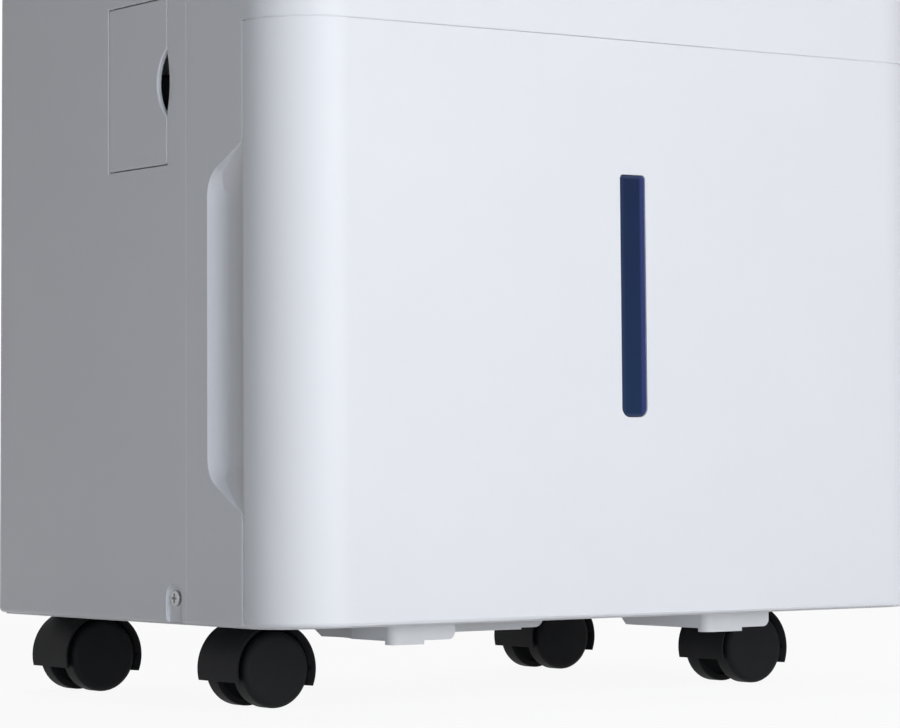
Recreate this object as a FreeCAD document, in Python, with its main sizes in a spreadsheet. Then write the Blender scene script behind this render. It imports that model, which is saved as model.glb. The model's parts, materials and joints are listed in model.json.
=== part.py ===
"""Compressor dehumidifier on four casters, with a pull-out water tank at the front.

Millimetres, +Z up, +X to the right seen from the front, front face towards -Y.
The origin is on the floor, under the middle of the casing.
"""
import FreeCAD, Part
import math
import os
import Sketcher
from FreeCAD import Placement, Rotation, Vector

SIZES = {
    # casing
    "body_width": 384, "body_depth": 270, "body_bottom": 39, "body_top": 502,
    "corner_round": 34, "rear_round": 3, "front_crown": 1.8, "shell_wall": 2.5,
    "foot_edge_round": 2.2, "top_round": 9, "seam_gap": 0.4, "fit_gap": 0.3, "run_gap": 0.08,
    "cover_seam": 482, "housing_seam": 48, "lip_wall": 1.6, "lip_length": 3.5, "seam_round": 0.6,
    # tank bay and the grip recesses beside it
    "tank_seam": 308.9, "tank_gap": 0.35, "tank_edge": 97.2, "edge_gap": 1.1,
    "bay_half": 176, "bay_back": 26, "bay_wall": 2,
    "grip_back": 66.3, "grip_low": 88, "grip_low_bend": 105, "grip_high_bend": 240.8, "grip_high": 255.1,
    "grip_floor_low": 109.6, "grip_floor_high": 232.5, "grip_depth": 7.5, "grip_round": 14, "grip_wall": 2,
    "grip_hollow": 7.4, "bay_edge_round": 0.9,
    # tank
    "tank_wall": 3, "tank_flange": 12, "tank_edge_round": 0.6, "tank_foot_round": 2.5,
    "bucket_half": 171, "bucket_front": 130.2, "bucket_back": 30, "bucket_top": 262,
    "bucket_wall": 2.2, "bucket_round": 12, "lid_thick": 2.4, "lid_drop": 4, "rib_place": 60, "rib_thick": 4,
    "rib_margin": 20,
    "window_width": 15, "window_place": 1.2, "window_low": 131.6, "window_high": 245,
    "window_round": 4.5, "window_fit": 0.15, "window_top_round": 2,
    "window_sink": 0.6, "window_flange": 4, "window_flange_thick": 1.5,
    "handle_half": 146, "handle_rod": 4, "handle_reach": 31, "handle_pivot_back": 82, "handle_pivot_up": 7,
    "handle_pin": 3, "ear_thick": 5, "ear_half": 6, "ear_over": 5, "funnel_radius": 15, "funnel_rim": 2,
    "funnel_high": 3,
    # float
    "float_place": 60, "float_pivot_back": 40, "float_pivot_up": 218, "float_pin": 2, "float_hub": 4,
    "float_arm": 12, "float_arm_thick": 4, "float_width": 34, "float_length": 40, "float_height": 24,
    "float_reach": 15, "float_ear": 3, "float_ear_half": 5,
    # tank switch
    "switch_place": 100, "switch_width": 20, "switch_depth": 16, "switch_low": 216,
    "cheek_depth": 10, "cheek_thick": 4, "cheek_low": 240, "cheek_high": 252, "lever_width": 8,
    "lever_pin": 1.5, "lever_hub": 3.2, "lever_pivot_back": 19.5, "lever_pivot_up": 246, "lever_drop": 18,
    "lever_thick": 2.4,
    # base and feet
    "rail_place": 100, "rail_thick": 6, "rail_high": 21, "rail_front": 112,
    "pan_half": 188.6, "pan_front": 118, "pan_drop": 0.8, "pan_thick": 3.8, "pan_rim": 12, "pan_rim_wall": 2,
    "foot_left_inner": 77.5, "foot_left_outer": 112, "foot_right_inner": 72,
    "foot_right_outer": 111.5, "foot_front": 96.3, "foot_back": 24, "foot_drop": 8.1, "foot_slope": 9,
    "foot_sweep": 34.6, "foot_lower_round": 3.5, "pad_drop": 1.8, "pad_inset": 17.2, "pad_length": 6.5,
    "mid_foot_half": 27, "mid_foot_front": 24, "mid_foot_back": 36, "mid_foot_drop": 8.2, "mid_foot_round": 5,
    "mid_pad_drop": 0.8, "foot_round": 5,
    # casters
    "stem_side": 142, "stem_front": 45, "stem_rear": 114.5, "trail": 11, "wheel_radius": 17.5,
    "web_half": 6.6, "wheel_side_gap": 0.8, "caster_half": 18.5, "hood_half": 17.3, "hood_radius": 21.3,
    "hood_wall": 2.6, "hood_flare": 2, "hood_flare_deep": 3.4, "hood_skirt": 8.2, "skirt_rise": 3,
    "axle_radius": 3, "axle_cap": 2.4, "stem_radius": 4,
    "stem_length": 24, "boss_radius": 6.5, "socket_wall": 4, "wheel_chamfer": 2.2, "wheel_inner_chamfer": 0.8,
    "hood_top_gap": 0.5,
    # left side: drain cover, cup and spout
    "door_front": 30.3, "door_rear": 24, "door_low": 249.4, "door_high": 326.7, "door_gap": 0.5,
    "door_round": 1.5, "notch_radius": 18.3, "notch_depth": 8.8, "notch_up": 287.4,
    "dish_radius": 77, "dish_depth": 1.4, "dish_back": 24.1, "hinge_pin": 0.7, "hinge_length": 3,
    "cup_depth": 27, "notch_room": 10, "cup_wall": 2,
    "spout_radius": 6.5, "spout_bore": 4.5, "spout_y": 3, "spout_up": 286, "spout_bend": 12,
    "spout_reach": 16, "spout_tray_x": 148, "plug_wall": 1.6, "plug_length": 9,
    "plug_fit": 0.1,
    # screws
    "screw_side_y": 36.5, "screw_up": 50.2, "screw_head": 3.6, "screw_head_high": 1.9, "screw_shank": 1.6,
    "screw_length": 10, "slot_half": 6.7, "slot_depth": 2.1, "slot_high": 56.5, "boss_wall": 3.4,
    "boss_depth": 11, "screw_rear_x": 177, "screw_rear_high": 303, "cross_width": 0.9, "cross_depth": 0.9,
    "cross_reach": 2.1,
    # carry grips
    "carry_front": 10, "carry_rear": 95, "carry_low": 424, "carry_high": 456, "carry_depth": 17,
    "carry_wall": 2, "carry_round": 6,
    # cord gland
    "gland_x": 120, "gland_up": 84, "gland_radius": 9, "gland_flange": 12, "gland_flange_thick": 2,
    "gland_bore": 3.6, "gland_pocket": 17, "gland_pocket_depth": 9, "gland_tail": 6,
    # rear intake and filter
    "intake_half": 148, "intake_low": 318, "intake_high": 470, "intake_round": 6, "intake_slot": 4.6,
    "intake_pitch": 7.6, "intake_bar": 6, "intake_edge": 6, "intake_lip": 3, "intake_lip_thick": 1.2,
    "filter_back": 129.6, "filter_thick": 5, "filter_half": 150, "filter_low": 315, "filter_high": 474,
    "filter_border": 8, "mesh_thick": 1, "mesh_seat": 2, "filter_notch": 12, "filter_notch_deep": 5,
    "ledge_thick": 2.2, "ledge_front": 123,
    # top: outlet and controls
    "outlet_half": 100, "outlet_front": 2, "outlet_rear": 58, "collar_wall": 3, "louvre_thick": 2.4,
    "louvre_pin": 0.7, "louvre_gap": 0.6, "grille_low": 486, "grille_high": 493, "grille_slot": 8,
    "grille_pitch": 10, "grille_edge": 4,
    "panel_half": 112, "panel_front": 112, "panel_rear": 64, "panel_thick": 1.6, "panel_round": 8,
    "button_radius": 7, "button_first": 24, "button_pitch": 30, "button_row": 88, "button_gap": 0.3,
    "button_rise": 0.6, "button_flange": 1.4, "button_flange_thick": 1.2, "button_below": 2.2,
    "lens_half": 24, "lens_deep": 9, "lens_place": 72, "lens_round": 2, "lens_sink": 0.2,
    # refrigeration set
    "tray_half": 165, "tray_front": 58, "tray_rear": 122, "tray_wall": 2, "tray_high": 13,
    "trough_near": 60, "trough_far": 82, "trough_front": 56, "trough_deep": 12, "drip_radius": 7,
    "drip_bore": 5, "drip_length": 12, "drip_back": 46,
    "coil_half": 138, "coil_high": 472, "fin_pitch": 9.2, "fin_groove": 6.2,
    "fin_groove_deep": 8.5, "evaporator_front": 96, "condenser_front": 66, "coil_deep": 22,
    "tube_radius": 3.5, "tube_pitch": 24, "tube_first": 334, "tube_gap": 0.15, "tube_over": 5,
    "compressor_x": 90, "compressor_y": 52, "compressor_radius": 54, "compressor_high": 264,
    "compressor_dome": 16, "drum_wall": 3.5, "drum_core": 24, "drum_end": 14,
    "plate_thick": 4, "plate_round": 9, "mount_circle": 66, "grommet_radius": 10,
    "grommet_high": 15, "post_radius": 4, "post_over": 2, "nut_radius": 7, "nut_high": 5,
    "accumulator_radius": 19, "accumulator_off": 78, "accumulator_low": 95, "accumulator_high": 215,
    "accumulator_round": 8, "strap_half": 8, "strap_up": 150, "strap_high": 12,
    "terminal_half": 17, "terminal_deep": 12, "terminal_low": 180, "terminal_high": 214,
    "pipe_radius": 3, "capillary_radius": 1.5, "pipe_bend": 10, "capillary_bend": 5,
    "pipe_side": 169.5, "pipe_level": 290, "capillary_side": 155,
    # fan
    "scroll_half": 102, "scroll_front": 3, "scroll_rear": 56, "scroll_wall": 3, "scroll_up": 402,
    "scroll_radius": 71, "fan_radius": 60, "fan_start": 9, "fan_depth": 38,
    "fan_hub": 14, "fan_hub_long": 20, "fan_plate": 3, "fan_ring": 5, "blade_thick": 1.6, "blade_deep": 12,
    "fan_shaft": 4, "shaft_start": 25, "inlet_radius": 48, "shaft_hole": 9,
    "motor_radius": 40, "motor_length": 40, "motor_boss": 12, "motor_boss_long": 5, "motor_rib": 4,
    # electric parts
    "box_half": 124, "box_front": 128, "box_rear": 92, "box_high": 104, "box_wall": 2, "board_thick": 1.6,
    "board_margin": 4, "board_stand": 6, "standoff_radius": 4, "standoff_inset": 12,
    "relay_width": 20, "relay_deep": 15, "relay_high": 26, "coil_box": 34,
    "capacitor_x": 70, "capacitor_y": 62, "capacitor_radius": 18,
    "capacitor_high": 72, "terminal_radius": 2, "terminal_high_cap": 6,
}
BUTTONS = ("power", "mode", "humidity", "fan", "timer")
RELAYS = 3
FAN_BLADES = 30
TUBE_PASSES = 6
OVER = 1            # how far a cutting tool reaches past the face that it opens
NEAR = 0.01         # tolerance for finding edges by their place

doc = FreeCAD.newDocument("Dehumidifier")
sheet = doc.addObject("Spreadsheet::Sheet", "Sizes")
for row, (alias, value) in enumerate(SIZES.items(), start=1):
    sheet.set("A%d" % row, alias)
    sheet.set("B%d" % row, str(value))
    sheet.setAlias("B%d" % row, alias)
doc.recompute()


class Size:
    """A length that carries both its spreadsheet expression and its present value."""

    def __init__(self, text, now):
        self.text = text
        self.now = now

    def __add__(self, other):
        return joined(self, "+", other)

    def __radd__(self, other):
        return joined(other, "+", self)

    def __sub__(self, other):
        return joined(self, "-", other)

    def __rsub__(self, other):
        return joined(other, "-", self)

    def __mul__(self, other):
        return joined(self, "*", other)

    def __rmul__(self, other):
        return joined(other, "*", self)

    def __truediv__(self, other):
        return joined(self, "/", other)

    def __neg__(self):
        return joined(-1, "*", self)


def as_size(value):
    return value if isinstance(value, Size) else Size(repr(value), value)


def joined(left, sign, right):
    left = as_size(left)
    right = as_size(right)
    now = {"+": lambda a, b: a + b, "-": lambda a, b: a - b, "*": lambda a, b: a * b,
           "/": lambda a, b: a / b}[sign](left.now, right.now)
    return Size("(%s %s %s)" % (left.text, sign, right.text), now)


class Table:
    """The sheet's cells, read by alias."""

    def __getattr__(self, alias):
        return Size("Sizes." + alias, float(sheet.get(alias)))


s = Table()
HALF = s.body_width / 2
FRONT = -s.body_depth / 2
REAR = s.body_depth / 2
PAN_LOW = s.body_bottom - s.pan_drop
PAN_TOP = PAN_LOW + s.pan_thick
SEAM_FRONT = -s.housing_seam - s.seam_gap / 2
SEAM_REAR = -s.housing_seam + s.seam_gap / 2
CASING_TOP = s.cover_seam - s.seam_gap / 2
COVER_LOW = s.cover_seam + s.seam_gap / 2
TANK_TOP = s.tank_seam - s.tank_gap
CEILING_TOP = s.tank_seam + s.shell_wall
BAY_FRONT = -s.tank_edge + s.edge_gap
BAY_REAR = -s.bay_back + s.bay_wall
LID_TOP = s.bucket_top + s.lid_thick
BUCKET_LOW = PAN_TOP + s.rail_high + s.run_gap
TRAY_TOP = CEILING_TOP + s.tray_high
COIL_LOW = CEILING_TOP + s.tray_wall
GROMMET_TOP = PAN_TOP + s.grommet_high
PLATE_TOP = GROMMET_TOP + s.plate_thick
HOOD_TOP = PAN_LOW - s.hood_top_gap
FLANGE_ROUND = s.corner_round + s.front_crown - s.tank_flange - s.tank_wall
SEAT_RADIUS = s.screw_head + s.boss_wall
DRIP_X = (s.trough_near + s.trough_far) / 2

PLANES = {"XY": ("XY_Plane", 1), "XZ": ("XZ_Plane", -1), "YZ": ("YZ_Plane", 1)}
ROD_PLANE = {"X": "YZ", "Y": "XZ", "Z": "XY"}


def bind(target, prop, value):
    """Tie one property of an object to the sheet."""
    target.setExpression(prop, as_size(value).text)


def place(target, x=0, y=0, z=0):
    for letter, value in zip("xyz", (x, y, z)):
        bind(target, "Placement.Base." + letter, value)


def rect(u_low, u_high, v_low, v_high, rounding=None):
    corners = [(u_low, v_low), (u_high, v_low), (u_high, v_high), (u_low, v_high)]
    return [(u, v, rounding) for u, v in corners]


def draw_outline(sketch, points):
    """A closed outline of straight sides; a point with a third value gets that corner radius."""
    count = len(points)
    spots = [Vector(as_size(p[0]).now, as_size(p[1]).now, 0) for p in points]
    bends = [as_size(p[2]) if len(p) > 2 and p[2] is not None else None for p in points]
    starts = []
    ends = []
    centres = []
    for i, spot in enumerate(spots):
        back = (spots[i - 1] - spot).normalize()
        ahead = (spots[(i + 1) % count] - spot).normalize()
        if bends[i] is None:
            starts.append(spot)
            ends.append(spot)
            centres.append(None)
            continue
        half_angle = back.getAngle(ahead) / 2
        reach = bends[i].now / math.tan(half_angle)
        starts.append(spot + back * reach)
        ends.append(spot + ahead * reach)
        centres.append(spot + (back + ahead).normalize() * (bends[i].now / math.sin(half_angle)))
    lines = [sketch.addGeometry(Part.LineSegment(ends[i], starts[(i + 1) % count]), False)
             for i in range(count)]
    for i, spot in enumerate(spots):
        before = lines[i - 1]
        after = lines[i]
        if bends[i] is None:
            sketch.addConstraint(Sketcher.Constraint("Coincident", before, 2, after, 1))
            fix_point(sketch, after, points[i])
            continue
        turn = (spot - starts[i]).cross(ends[i] - spot).z
        first, last = (starts[i], ends[i]) if turn > 0 else (ends[i], starts[i])
        circle = Part.Circle(centres[i], Vector(0, 0, 1), bends[i].now)
        arc = Part.ArcOfCircle(circle, circle.parameter(first), circle.parameter(last))
        arc_id = sketch.addGeometry(arc, False)
        arc_start, arc_end = (1, 2) if turn > 0 else (2, 1)
        sketch.addConstraint(Sketcher.Constraint("Tangent", before, 2, arc_id, arc_start))
        sketch.addConstraint(Sketcher.Constraint("Tangent", arc_id, arc_end, after, 1))
        corner = sketch.addGeometry(Part.Point(spot), True)
        sketch.addConstraint(Sketcher.Constraint("PointOnObject", corner, 1, before))
        sketch.addConstraint(Sketcher.Constraint("PointOnObject", corner, 1, after))
        fix_point(sketch, corner, points[i])
        radius = sketch.addConstraint(Sketcher.Constraint("Radius", arc_id, bends[i].now))
        bind(sketch, "Constraints[%d]" % radius, bends[i])


def fix_point(sketch, geometry, point, position=1):
    """Hold one end of a sketch line at its two named distances from the origin."""
    for kind, value in zip(("DistanceX", "DistanceY"), point):
        value = as_size(value)
        held = sketch.addConstraint(Sketcher.Constraint(kind, -1, 1, geometry, position, value.now))
        bind(sketch, "Constraints[%d]" % held, value)


def draw_circle(sketch, centre, radius):
    spot = Vector(as_size(centre[0]).now, as_size(centre[1]).now, 0)
    radius = as_size(radius)
    circle = sketch.addGeometry(Part.Circle(spot, Vector(0, 0, 1), radius.now), False)
    fix_point(sketch, circle, centre, 3)
    held = sketch.addConstraint(Sketcher.Constraint("Radius", circle, radius.now))
    bind(sketch, "Constraints[%d]" % held, radius)


def draw_crowned(sketch, half, front, rear, crown):
    """The casing's plan: straight sides and back, and a front that bows out by the crown."""
    side_front = front + crown
    radius = (half * half + crown * crown) / (2 * crown)
    right = Vector(as_size(half).now, side_front.now, 0)
    left = Vector(-right.x, right.y, 0)
    apex = Vector(0, front.now, 0)
    back = as_size(rear).now
    bow = sketch.addGeometry(Part.Arc(left, apex, right), False)
    side_a = sketch.addGeometry(Part.LineSegment(right, Vector(right.x, back, 0)), False)
    behind = sketch.addGeometry(Part.LineSegment(Vector(right.x, back, 0), Vector(left.x, back, 0)), False)
    side_b = sketch.addGeometry(Part.LineSegment(Vector(left.x, back, 0), left), False)
    for first, first_end, second, second_end in ((bow, 2, side_a, 1), (side_a, 2, behind, 1),
                                                 (behind, 2, side_b, 1), (side_b, 2, bow, 1)):
        sketch.addConstraint(Sketcher.Constraint("Coincident", first, first_end, second, second_end))
    fix_point(sketch, side_a, (half, side_front))
    fix_point(sketch, behind, (half, rear))
    fix_point(sketch, side_b, (-half, rear))
    held = sketch.addConstraint(Sketcher.Constraint("DistanceY", -1, 1, side_b, 2, side_front.now))
    bind(sketch, "Constraints[%d]" % held, side_front)
    sketch.addConstraint(Sketcher.Constraint("Vertical", side_b))
    held = sketch.addConstraint(Sketcher.Constraint("Radius", bow, radius.now))
    bind(sketch, "Constraints[%d]" % held, radius)


class Sub:
    """One sub-part made as a PartDesign body, feature by feature."""

    def __init__(self, name, x=0, y=0, z=0):
        self.body = doc.addObject("PartDesign::Body", name)
        self.body.Label = name
        place(self.body, x, y, z)
        parts.append(self.body)

    def origin(self, role):
        return next(f for f in self.body.Origin.OriginFeatures if f.Role == role)

    def sketch(self, plane, low, high):
        """An empty sketch at the end of a span from which its plane's normal points inwards."""
        role, way = PLANES[plane]
        sketch = self.body.newObject("Sketcher::SketchObject", "Sketch")
        sketch.AttachmentSupport = [(self.origin(role), "")]
        sketch.MapMode = "FlatFace"
        bind(sketch, "AttachmentOffset.Base.z", low if way > 0 else -as_size(high))
        return sketch

    def extrude(self, kind, sketch, low, high):
        feature = self.body.newObject(kind, kind.split("::")[1])
        feature.Profile = sketch
        if kind.endswith("Pocket"):
            feature.Reversed = True
        bind(feature, "Length", as_size(high) - as_size(low))
        self.body.Tip = feature
        return feature

    def prism(self, kind, plane, outlines, low, high):
        sketch = self.sketch(plane, low, high)
        for outline in outlines:
            draw_outline(sketch, outline)
        return self.extrude(kind, sketch, low, high)

    def add(self, plane, outline, low, high):
        return self.prism("PartDesign::Pad", plane, [outline], low, high)

    def cut(self, plane, outline, low, high):
        return self.prism("PartDesign::Pocket", plane, [outline], low, high)

    def add_ring(self, plane, outer, inner, low, high):
        return self.prism("PartDesign::Pad", plane, [outer, inner], low, high)

    def add_box(self, x_span, y_span, z_span):
        return self.add("XY", rect(*x_span, *y_span), *z_span)

    def cut_box(self, x_span, y_span, z_span):
        return self.cut("XY", rect(*x_span, *y_span), *z_span)

    def rod(self, kind, axis, centre, radii, low, high):
        sketch = self.sketch(ROD_PLANE[axis], low, high)
        for radius in radii:
            draw_circle(sketch, centre, radius)
        return self.extrude(kind, sketch, low, high)

    def add_rod(self, axis, centre, radius, low, high):
        return self.rod("PartDesign::Pad", axis, centre, [radius], low, high)

    def add_tube(self, axis, centre, radius, bore, low, high):
        return self.rod("PartDesign::Pad", axis, centre, [radius, bore], low, high)

    def cut_rod(self, axis, centre, radius, low, high):
        return self.rod("PartDesign::Pocket", axis, centre, [radius], low, high)

    def add_crowned(self, half, front, rear, low, high):
        sketch = self.sketch("XY", low, high)
        draw_crowned(sketch, half, front, rear, s.front_crown)
        return self.extrude("PartDesign::Pad", sketch, low, high)

    def cut_crowned(self, half, front, rear, low, high):
        sketch = self.sketch("XY", low, high)
        draw_crowned(sketch, half, front, rear, s.front_crown)
        return self.extrude("PartDesign::Pocket", sketch, low, high)

    def revolve(self, outline):
        """Turn an outline drawn in (radius, height along Y) round the body's Y axis."""
        return self.turned("XY", outline)

    def turned(self, plane, outline, kind="PartDesign::Revolution"):
        sketch = self.sketch(plane, 0, 0)
        draw_outline(sketch, outline)
        feature = self.body.newObject(kind, kind.split("::")[1])
        feature.Profile = sketch
        feature.ReferenceAxis = (sketch, ["V_Axis"])
        feature.Angle = 360
        self.body.Tip = feature
        return feature

    def round_edges(self, radius, wanted):
        """Round every edge whose box passes the test."""
        doc.recompute()
        base = self.body.Tip
        names = ["Edge%d" % i for i, edge in enumerate(base.Shape.Edges, start=1) if wanted(edge)]
        if not names:
            raise ValueError("no edge to round on " + self.body.Label)
        feature = self.body.newObject("PartDesign::Fillet", "Fillet")
        feature.Base = (base, names)
        bind(feature, "Radius", radius)
        self.body.Tip = feature
        return feature

    def row_of(self, feature, axis, pitch, count):
        """Repeat a feature along one axis of the body."""
        pattern = self.body.newObject("PartDesign::LinearPattern", "Row")
        pattern.Originals = [feature]
        pattern.Direction = (self.origin(axis + "_Axis"), [""])
        pattern.Occurrences = count
        bind(pattern, "Length", pitch * (count - 1))
        self.body.Tip = pattern
        return pattern

    def circle_of(self, feature, axis, count):
        pattern = self.body.newObject("PartDesign::PolarPattern", "Circle")
        pattern.Originals = [feature]
        pattern.Axis = (self.origin(axis + "_Axis"), [""])
        pattern.Angle = 360
        pattern.Occurrences = count
        self.body.Tip = pattern
        return pattern


def same(number, size):
    return abs(number - as_size(size).now) < NEAR


def upright_at(y=None, x=None):
    """A test for vertical edges at a given depth and, if asked, distance from the middle."""
    def wanted(edge):
        box = edge.BoundBox
        tall = box.ZLength > 1 and box.XLength < NEAR and box.YLength < NEAR
        y_fits = y is None or same(box.YMin, y)
        x_fits = x is None or same(abs(box.XMin), x)
        return tall and y_fits and x_fits
    return wanted


def level_at(z, beside=None):
    """A test for edges that lie at one height, all but those that run along one line across."""
    def wanted(edge):
        box = edge.BoundBox
        flat = same(box.ZMin, z) and same(box.ZMax, z)
        return flat and (beside is None or not (same(box.YMin, beside) and same(box.YMax, beside)))
    return wanted


def make_front_housing():
    housing = Sub("front_housing")
    inner = HALF - s.shell_wall
    housing.add_crowned(HALF, FRONT, SEAM_FRONT, s.body_bottom, CASING_TOP)
    housing.cut_crowned(inner, FRONT + s.shell_wall, SEAM_FRONT + OVER, s.body_bottom - OVER, s.tank_seam)
    housing.cut_crowned(inner, FRONT + s.shell_wall, SEAM_FRONT + OVER, CEILING_TOP, CASING_TOP + OVER)
    inner_front = FRONT + s.shell_wall + s.front_crown
    housing.round_edges(s.corner_round - s.shell_wall, upright_at(y=inner_front, x=inner))
    housing.round_edges(s.corner_round, upright_at(y=FRONT + s.front_crown, x=HALF))
    housing.cut_box((-HALF - OVER, HALF + OVER), (FRONT - OVER, BAY_FRONT),
                    (s.body_bottom - OVER, s.tank_seam))
    bay_outer = s.bay_half + s.bay_wall
    lip_top = s.cover_seam - s.lip_length - s.fit_gap
    housing.add_box((-bay_outer, bay_outer), (SEAM_FRONT - OVER, BAY_REAR), (s.tank_seam, CEILING_TOP))
    housing.add_box((-bay_outer, bay_outer), (-s.bay_back, BAY_REAR), (PAN_TOP, s.tank_seam))
    for side in (-1, 1):
        walls = sorted_span(side, s.bay_half, bay_outer)
        housing.add_box(walls, (BAY_FRONT, BAY_REAR), (PAN_TOP, s.tank_seam))
        flange = sorted_span(side, s.bay_half, HALF - s.shell_wall / 2)
        housing.add_box(flange, (BAY_FRONT, BAY_FRONT + s.bay_wall), (PAN_TOP, s.tank_seam))
        housing.add_box(flange, (BAY_FRONT, -s.grip_back + s.grip_wall),
                        (s.grip_low - s.grip_wall, s.grip_high + s.grip_wall))
        lip = sorted_span(side, inner - s.lip_wall, inner + s.lip_wall / 2)
        housing.add_box(lip, (SEAM_FRONT - s.lip_length, SEAM_FRONT), (PAN_TOP, lip_top))
        lip = sorted_span(side, inner - s.lip_wall, inner)
        housing.add_box(lip, (SEAM_FRONT - OVER, SEAM_REAR + s.lip_length), (PAN_TOP, lip_top))
    for side in (-1, 1):
        cut_grip(housing, side)
    housing.round_edges(s.bay_edge_round, upright_at(y=BAY_FRONT, x=HALF))
    for side in (-1, 1):
        slope_grip_ends(housing, side)
    housing.cut_box((-s.switch_place - s.lever_width, -s.switch_place + s.lever_width),
                    (-s.bay_back - OVER, BAY_REAR + OVER), (s.cheek_low - s.lever_drop, s.cheek_high))
    housing.cut_rod("Z", (DRIP_X, -s.drip_back), s.drip_radius + s.fit_gap, s.tank_seam - OVER,
                    CEILING_TOP + OVER)
    housing.round_edges(s.foot_edge_round, lower_side_edges)


def cut_grip(housing, side):
    """A finger recess that opens forwards, hollowed all round its floor."""
    mouth = -s.tank_edge
    outline = [(mouth, s.grip_low), (-s.grip_back, s.grip_low_bend, s.grip_round),
               (-s.grip_back, s.grip_high_bend, s.grip_round), (mouth, s.grip_high)]
    housing.cut("YZ", outline, *sorted_span(side, HALF - s.grip_depth, HALF + OVER))
    housing.round_edges(s.grip_hollow, floor_edges_at(side * (HALF - s.grip_depth)))


def slope_grip_ends(housing, side):
    """The recess's two ends rise from its floor to the casing's side."""
    floor = side * (HALF - s.grip_depth)
    under = floor - side * s.grip_wall
    for tip, foot in ((s.grip_low, s.grip_floor_low), (s.grip_high, s.grip_floor_high)):
        housing.add("XZ", [(side * HALF, tip), (floor, foot), (under, foot), (under, tip)],
                    BAY_FRONT, -s.grip_back)


def floor_edges_at(x):
    """A test for the edges round the floor of a recess, but not the one along its open mouth."""
    def wanted(edge):
        box = edge.BoundBox
        on_floor = same(box.XMin, x) and same(box.XMax, x)
        return on_floor and box.YMax > BAY_FRONT.now + NEAR and box.YMax < -s.grip_back.now + NEAR
    return wanted


def lower_side_edges(edge):
    """The two long outer edges along the bottom of the front housing."""
    box = edge.BoundBox
    low = same(box.ZMin, s.body_bottom) and same(box.ZMax, s.body_bottom)
    return low and same(abs(box.XMin), HALF) and box.YLength > 10 and box.XLength < NEAR


def sorted_span(side, near, far):
    """A span along X on the right (side 1) or mirrored to the left (side -1)."""
    return (near, far) if side > 0 else (-far, -near)


def make_rear_housing():
    housing = Sub("rear_housing")
    inner = HALF - s.shell_wall
    housing.add_box((-HALF, HALF), (SEAM_REAR, REAR), (s.body_bottom, CASING_TOP))
    housing.round_edges(s.rear_round, upright_at(y=REAR))
    housing.round_edges(s.foot_edge_round, level_at(s.body_bottom, beside=SEAM_REAR))
    housing.cut_box((-inner, inner), (SEAM_REAR - OVER, REAR - s.shell_wall),
                    (s.body_bottom - OVER, CASING_TOP + OVER))
    gap = s.fit_gap
    housing.cut("XZ", rect(-s.intake_half - gap, s.intake_half + gap, s.intake_low - gap, s.intake_high + gap,
                           s.intake_round + gap), REAR - s.shell_wall - OVER, REAR + OVER)
    add_door_opening(housing, inner)
    add_carry_grips(housing)
    for side in (-1, 1):
        add_screw_seat(housing, side)
    add_rear_screw_seats(housing)
    add_filter_slot(housing, inner)
    add_gland_pocket(housing)


def add_door_opening(housing, inner):
    gap = s.door_gap
    y_span = (-s.door_front - gap, s.door_rear + gap)
    z_span = (s.door_low - gap, s.door_high + gap)
    cup = s.cup_wall
    back = BAY_REAR + s.fit_gap
    skin = -inner - s.shell_wall / 2
    outside = (z_span[0] - cup, z_span[1] + cup)
    housing.add_box((skin, -HALF + s.notch_room + cup), (y_span[0] - cup, y_span[1] + cup), outside)
    housing.add_box((skin, -HALF + s.cup_depth + cup), (back, y_span[1] + cup), outside)
    housing.cut_box((-HALF - OVER, -HALF + s.notch_room), y_span, z_span)
    housing.cut_box((-HALF - OVER, -HALF + s.cup_depth), (back + cup, y_span[1]), z_span)
    housing.cut_rod("X", (-s.spout_y, s.spout_up), s.spout_radius + s.fit_gap,
                    -HALF + s.cup_depth - OVER, -HALF + s.cup_depth + cup + OVER)
    pivot = (-HALF + s.shell_wall / 2, s.door_rear - s.shell_wall / 2)
    reach = s.hinge_length + s.fit_gap
    for low, high in ((s.door_low - reach, s.door_low), (s.door_high, s.door_high + reach)):
        housing.cut_rod("Z", pivot, s.hinge_pin + s.run_gap, low, high)
    dish = housing.body.newObject("PartDesign::SubtractiveSphere", "Dish")
    bind(dish, "Radius", s.dish_radius)
    place(dish, -HALF - s.dish_radius + s.dish_depth, -s.dish_back, s.notch_up)
    housing.body.Tip = dish


def add_carry_grips(housing):
    wall = s.carry_wall
    for side in (-1, 1):
        cup = sorted_span(side, HALF - s.carry_depth - wall, HALF - s.shell_wall / 2)
        housing.add_box(cup, (s.carry_front - wall, s.carry_rear + wall),
                        (s.carry_low - wall, s.carry_high + wall))
        housing.cut("YZ", rect(s.carry_front, s.carry_rear, s.carry_low, s.carry_high, s.carry_round),
                    *sorted_span(side, HALF - s.carry_depth, HALF + OVER))


def add_screw_seat(housing, side):
    """A shallow slot up from the bottom edge, with a screw in its boss."""
    centre = (-s.screw_side_y, s.screw_up)
    boss = sorted_span(side, HALF - s.boss_depth, HALF - s.shell_wall / 2)
    housing.add_rod("X", centre, SEAT_RADIUS, *boss)
    low = s.body_bottom - OVER
    slot = [(-s.screw_side_y - s.slot_half, low), (-s.screw_side_y + s.slot_half, low),
            (-s.screw_side_y + s.slot_half, s.slot_high, s.slot_half - s.seam_round),
            (-s.screw_side_y - s.slot_half, s.slot_high, s.slot_half - s.seam_round)]
    housing.cut("YZ", slot, *sorted_span(side, HALF - s.slot_depth, HALF + OVER))
    housing.cut_rod("X", centre, s.screw_shank, *sorted_span(side, HALF - s.boss_depth - OVER, HALF))


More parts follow.
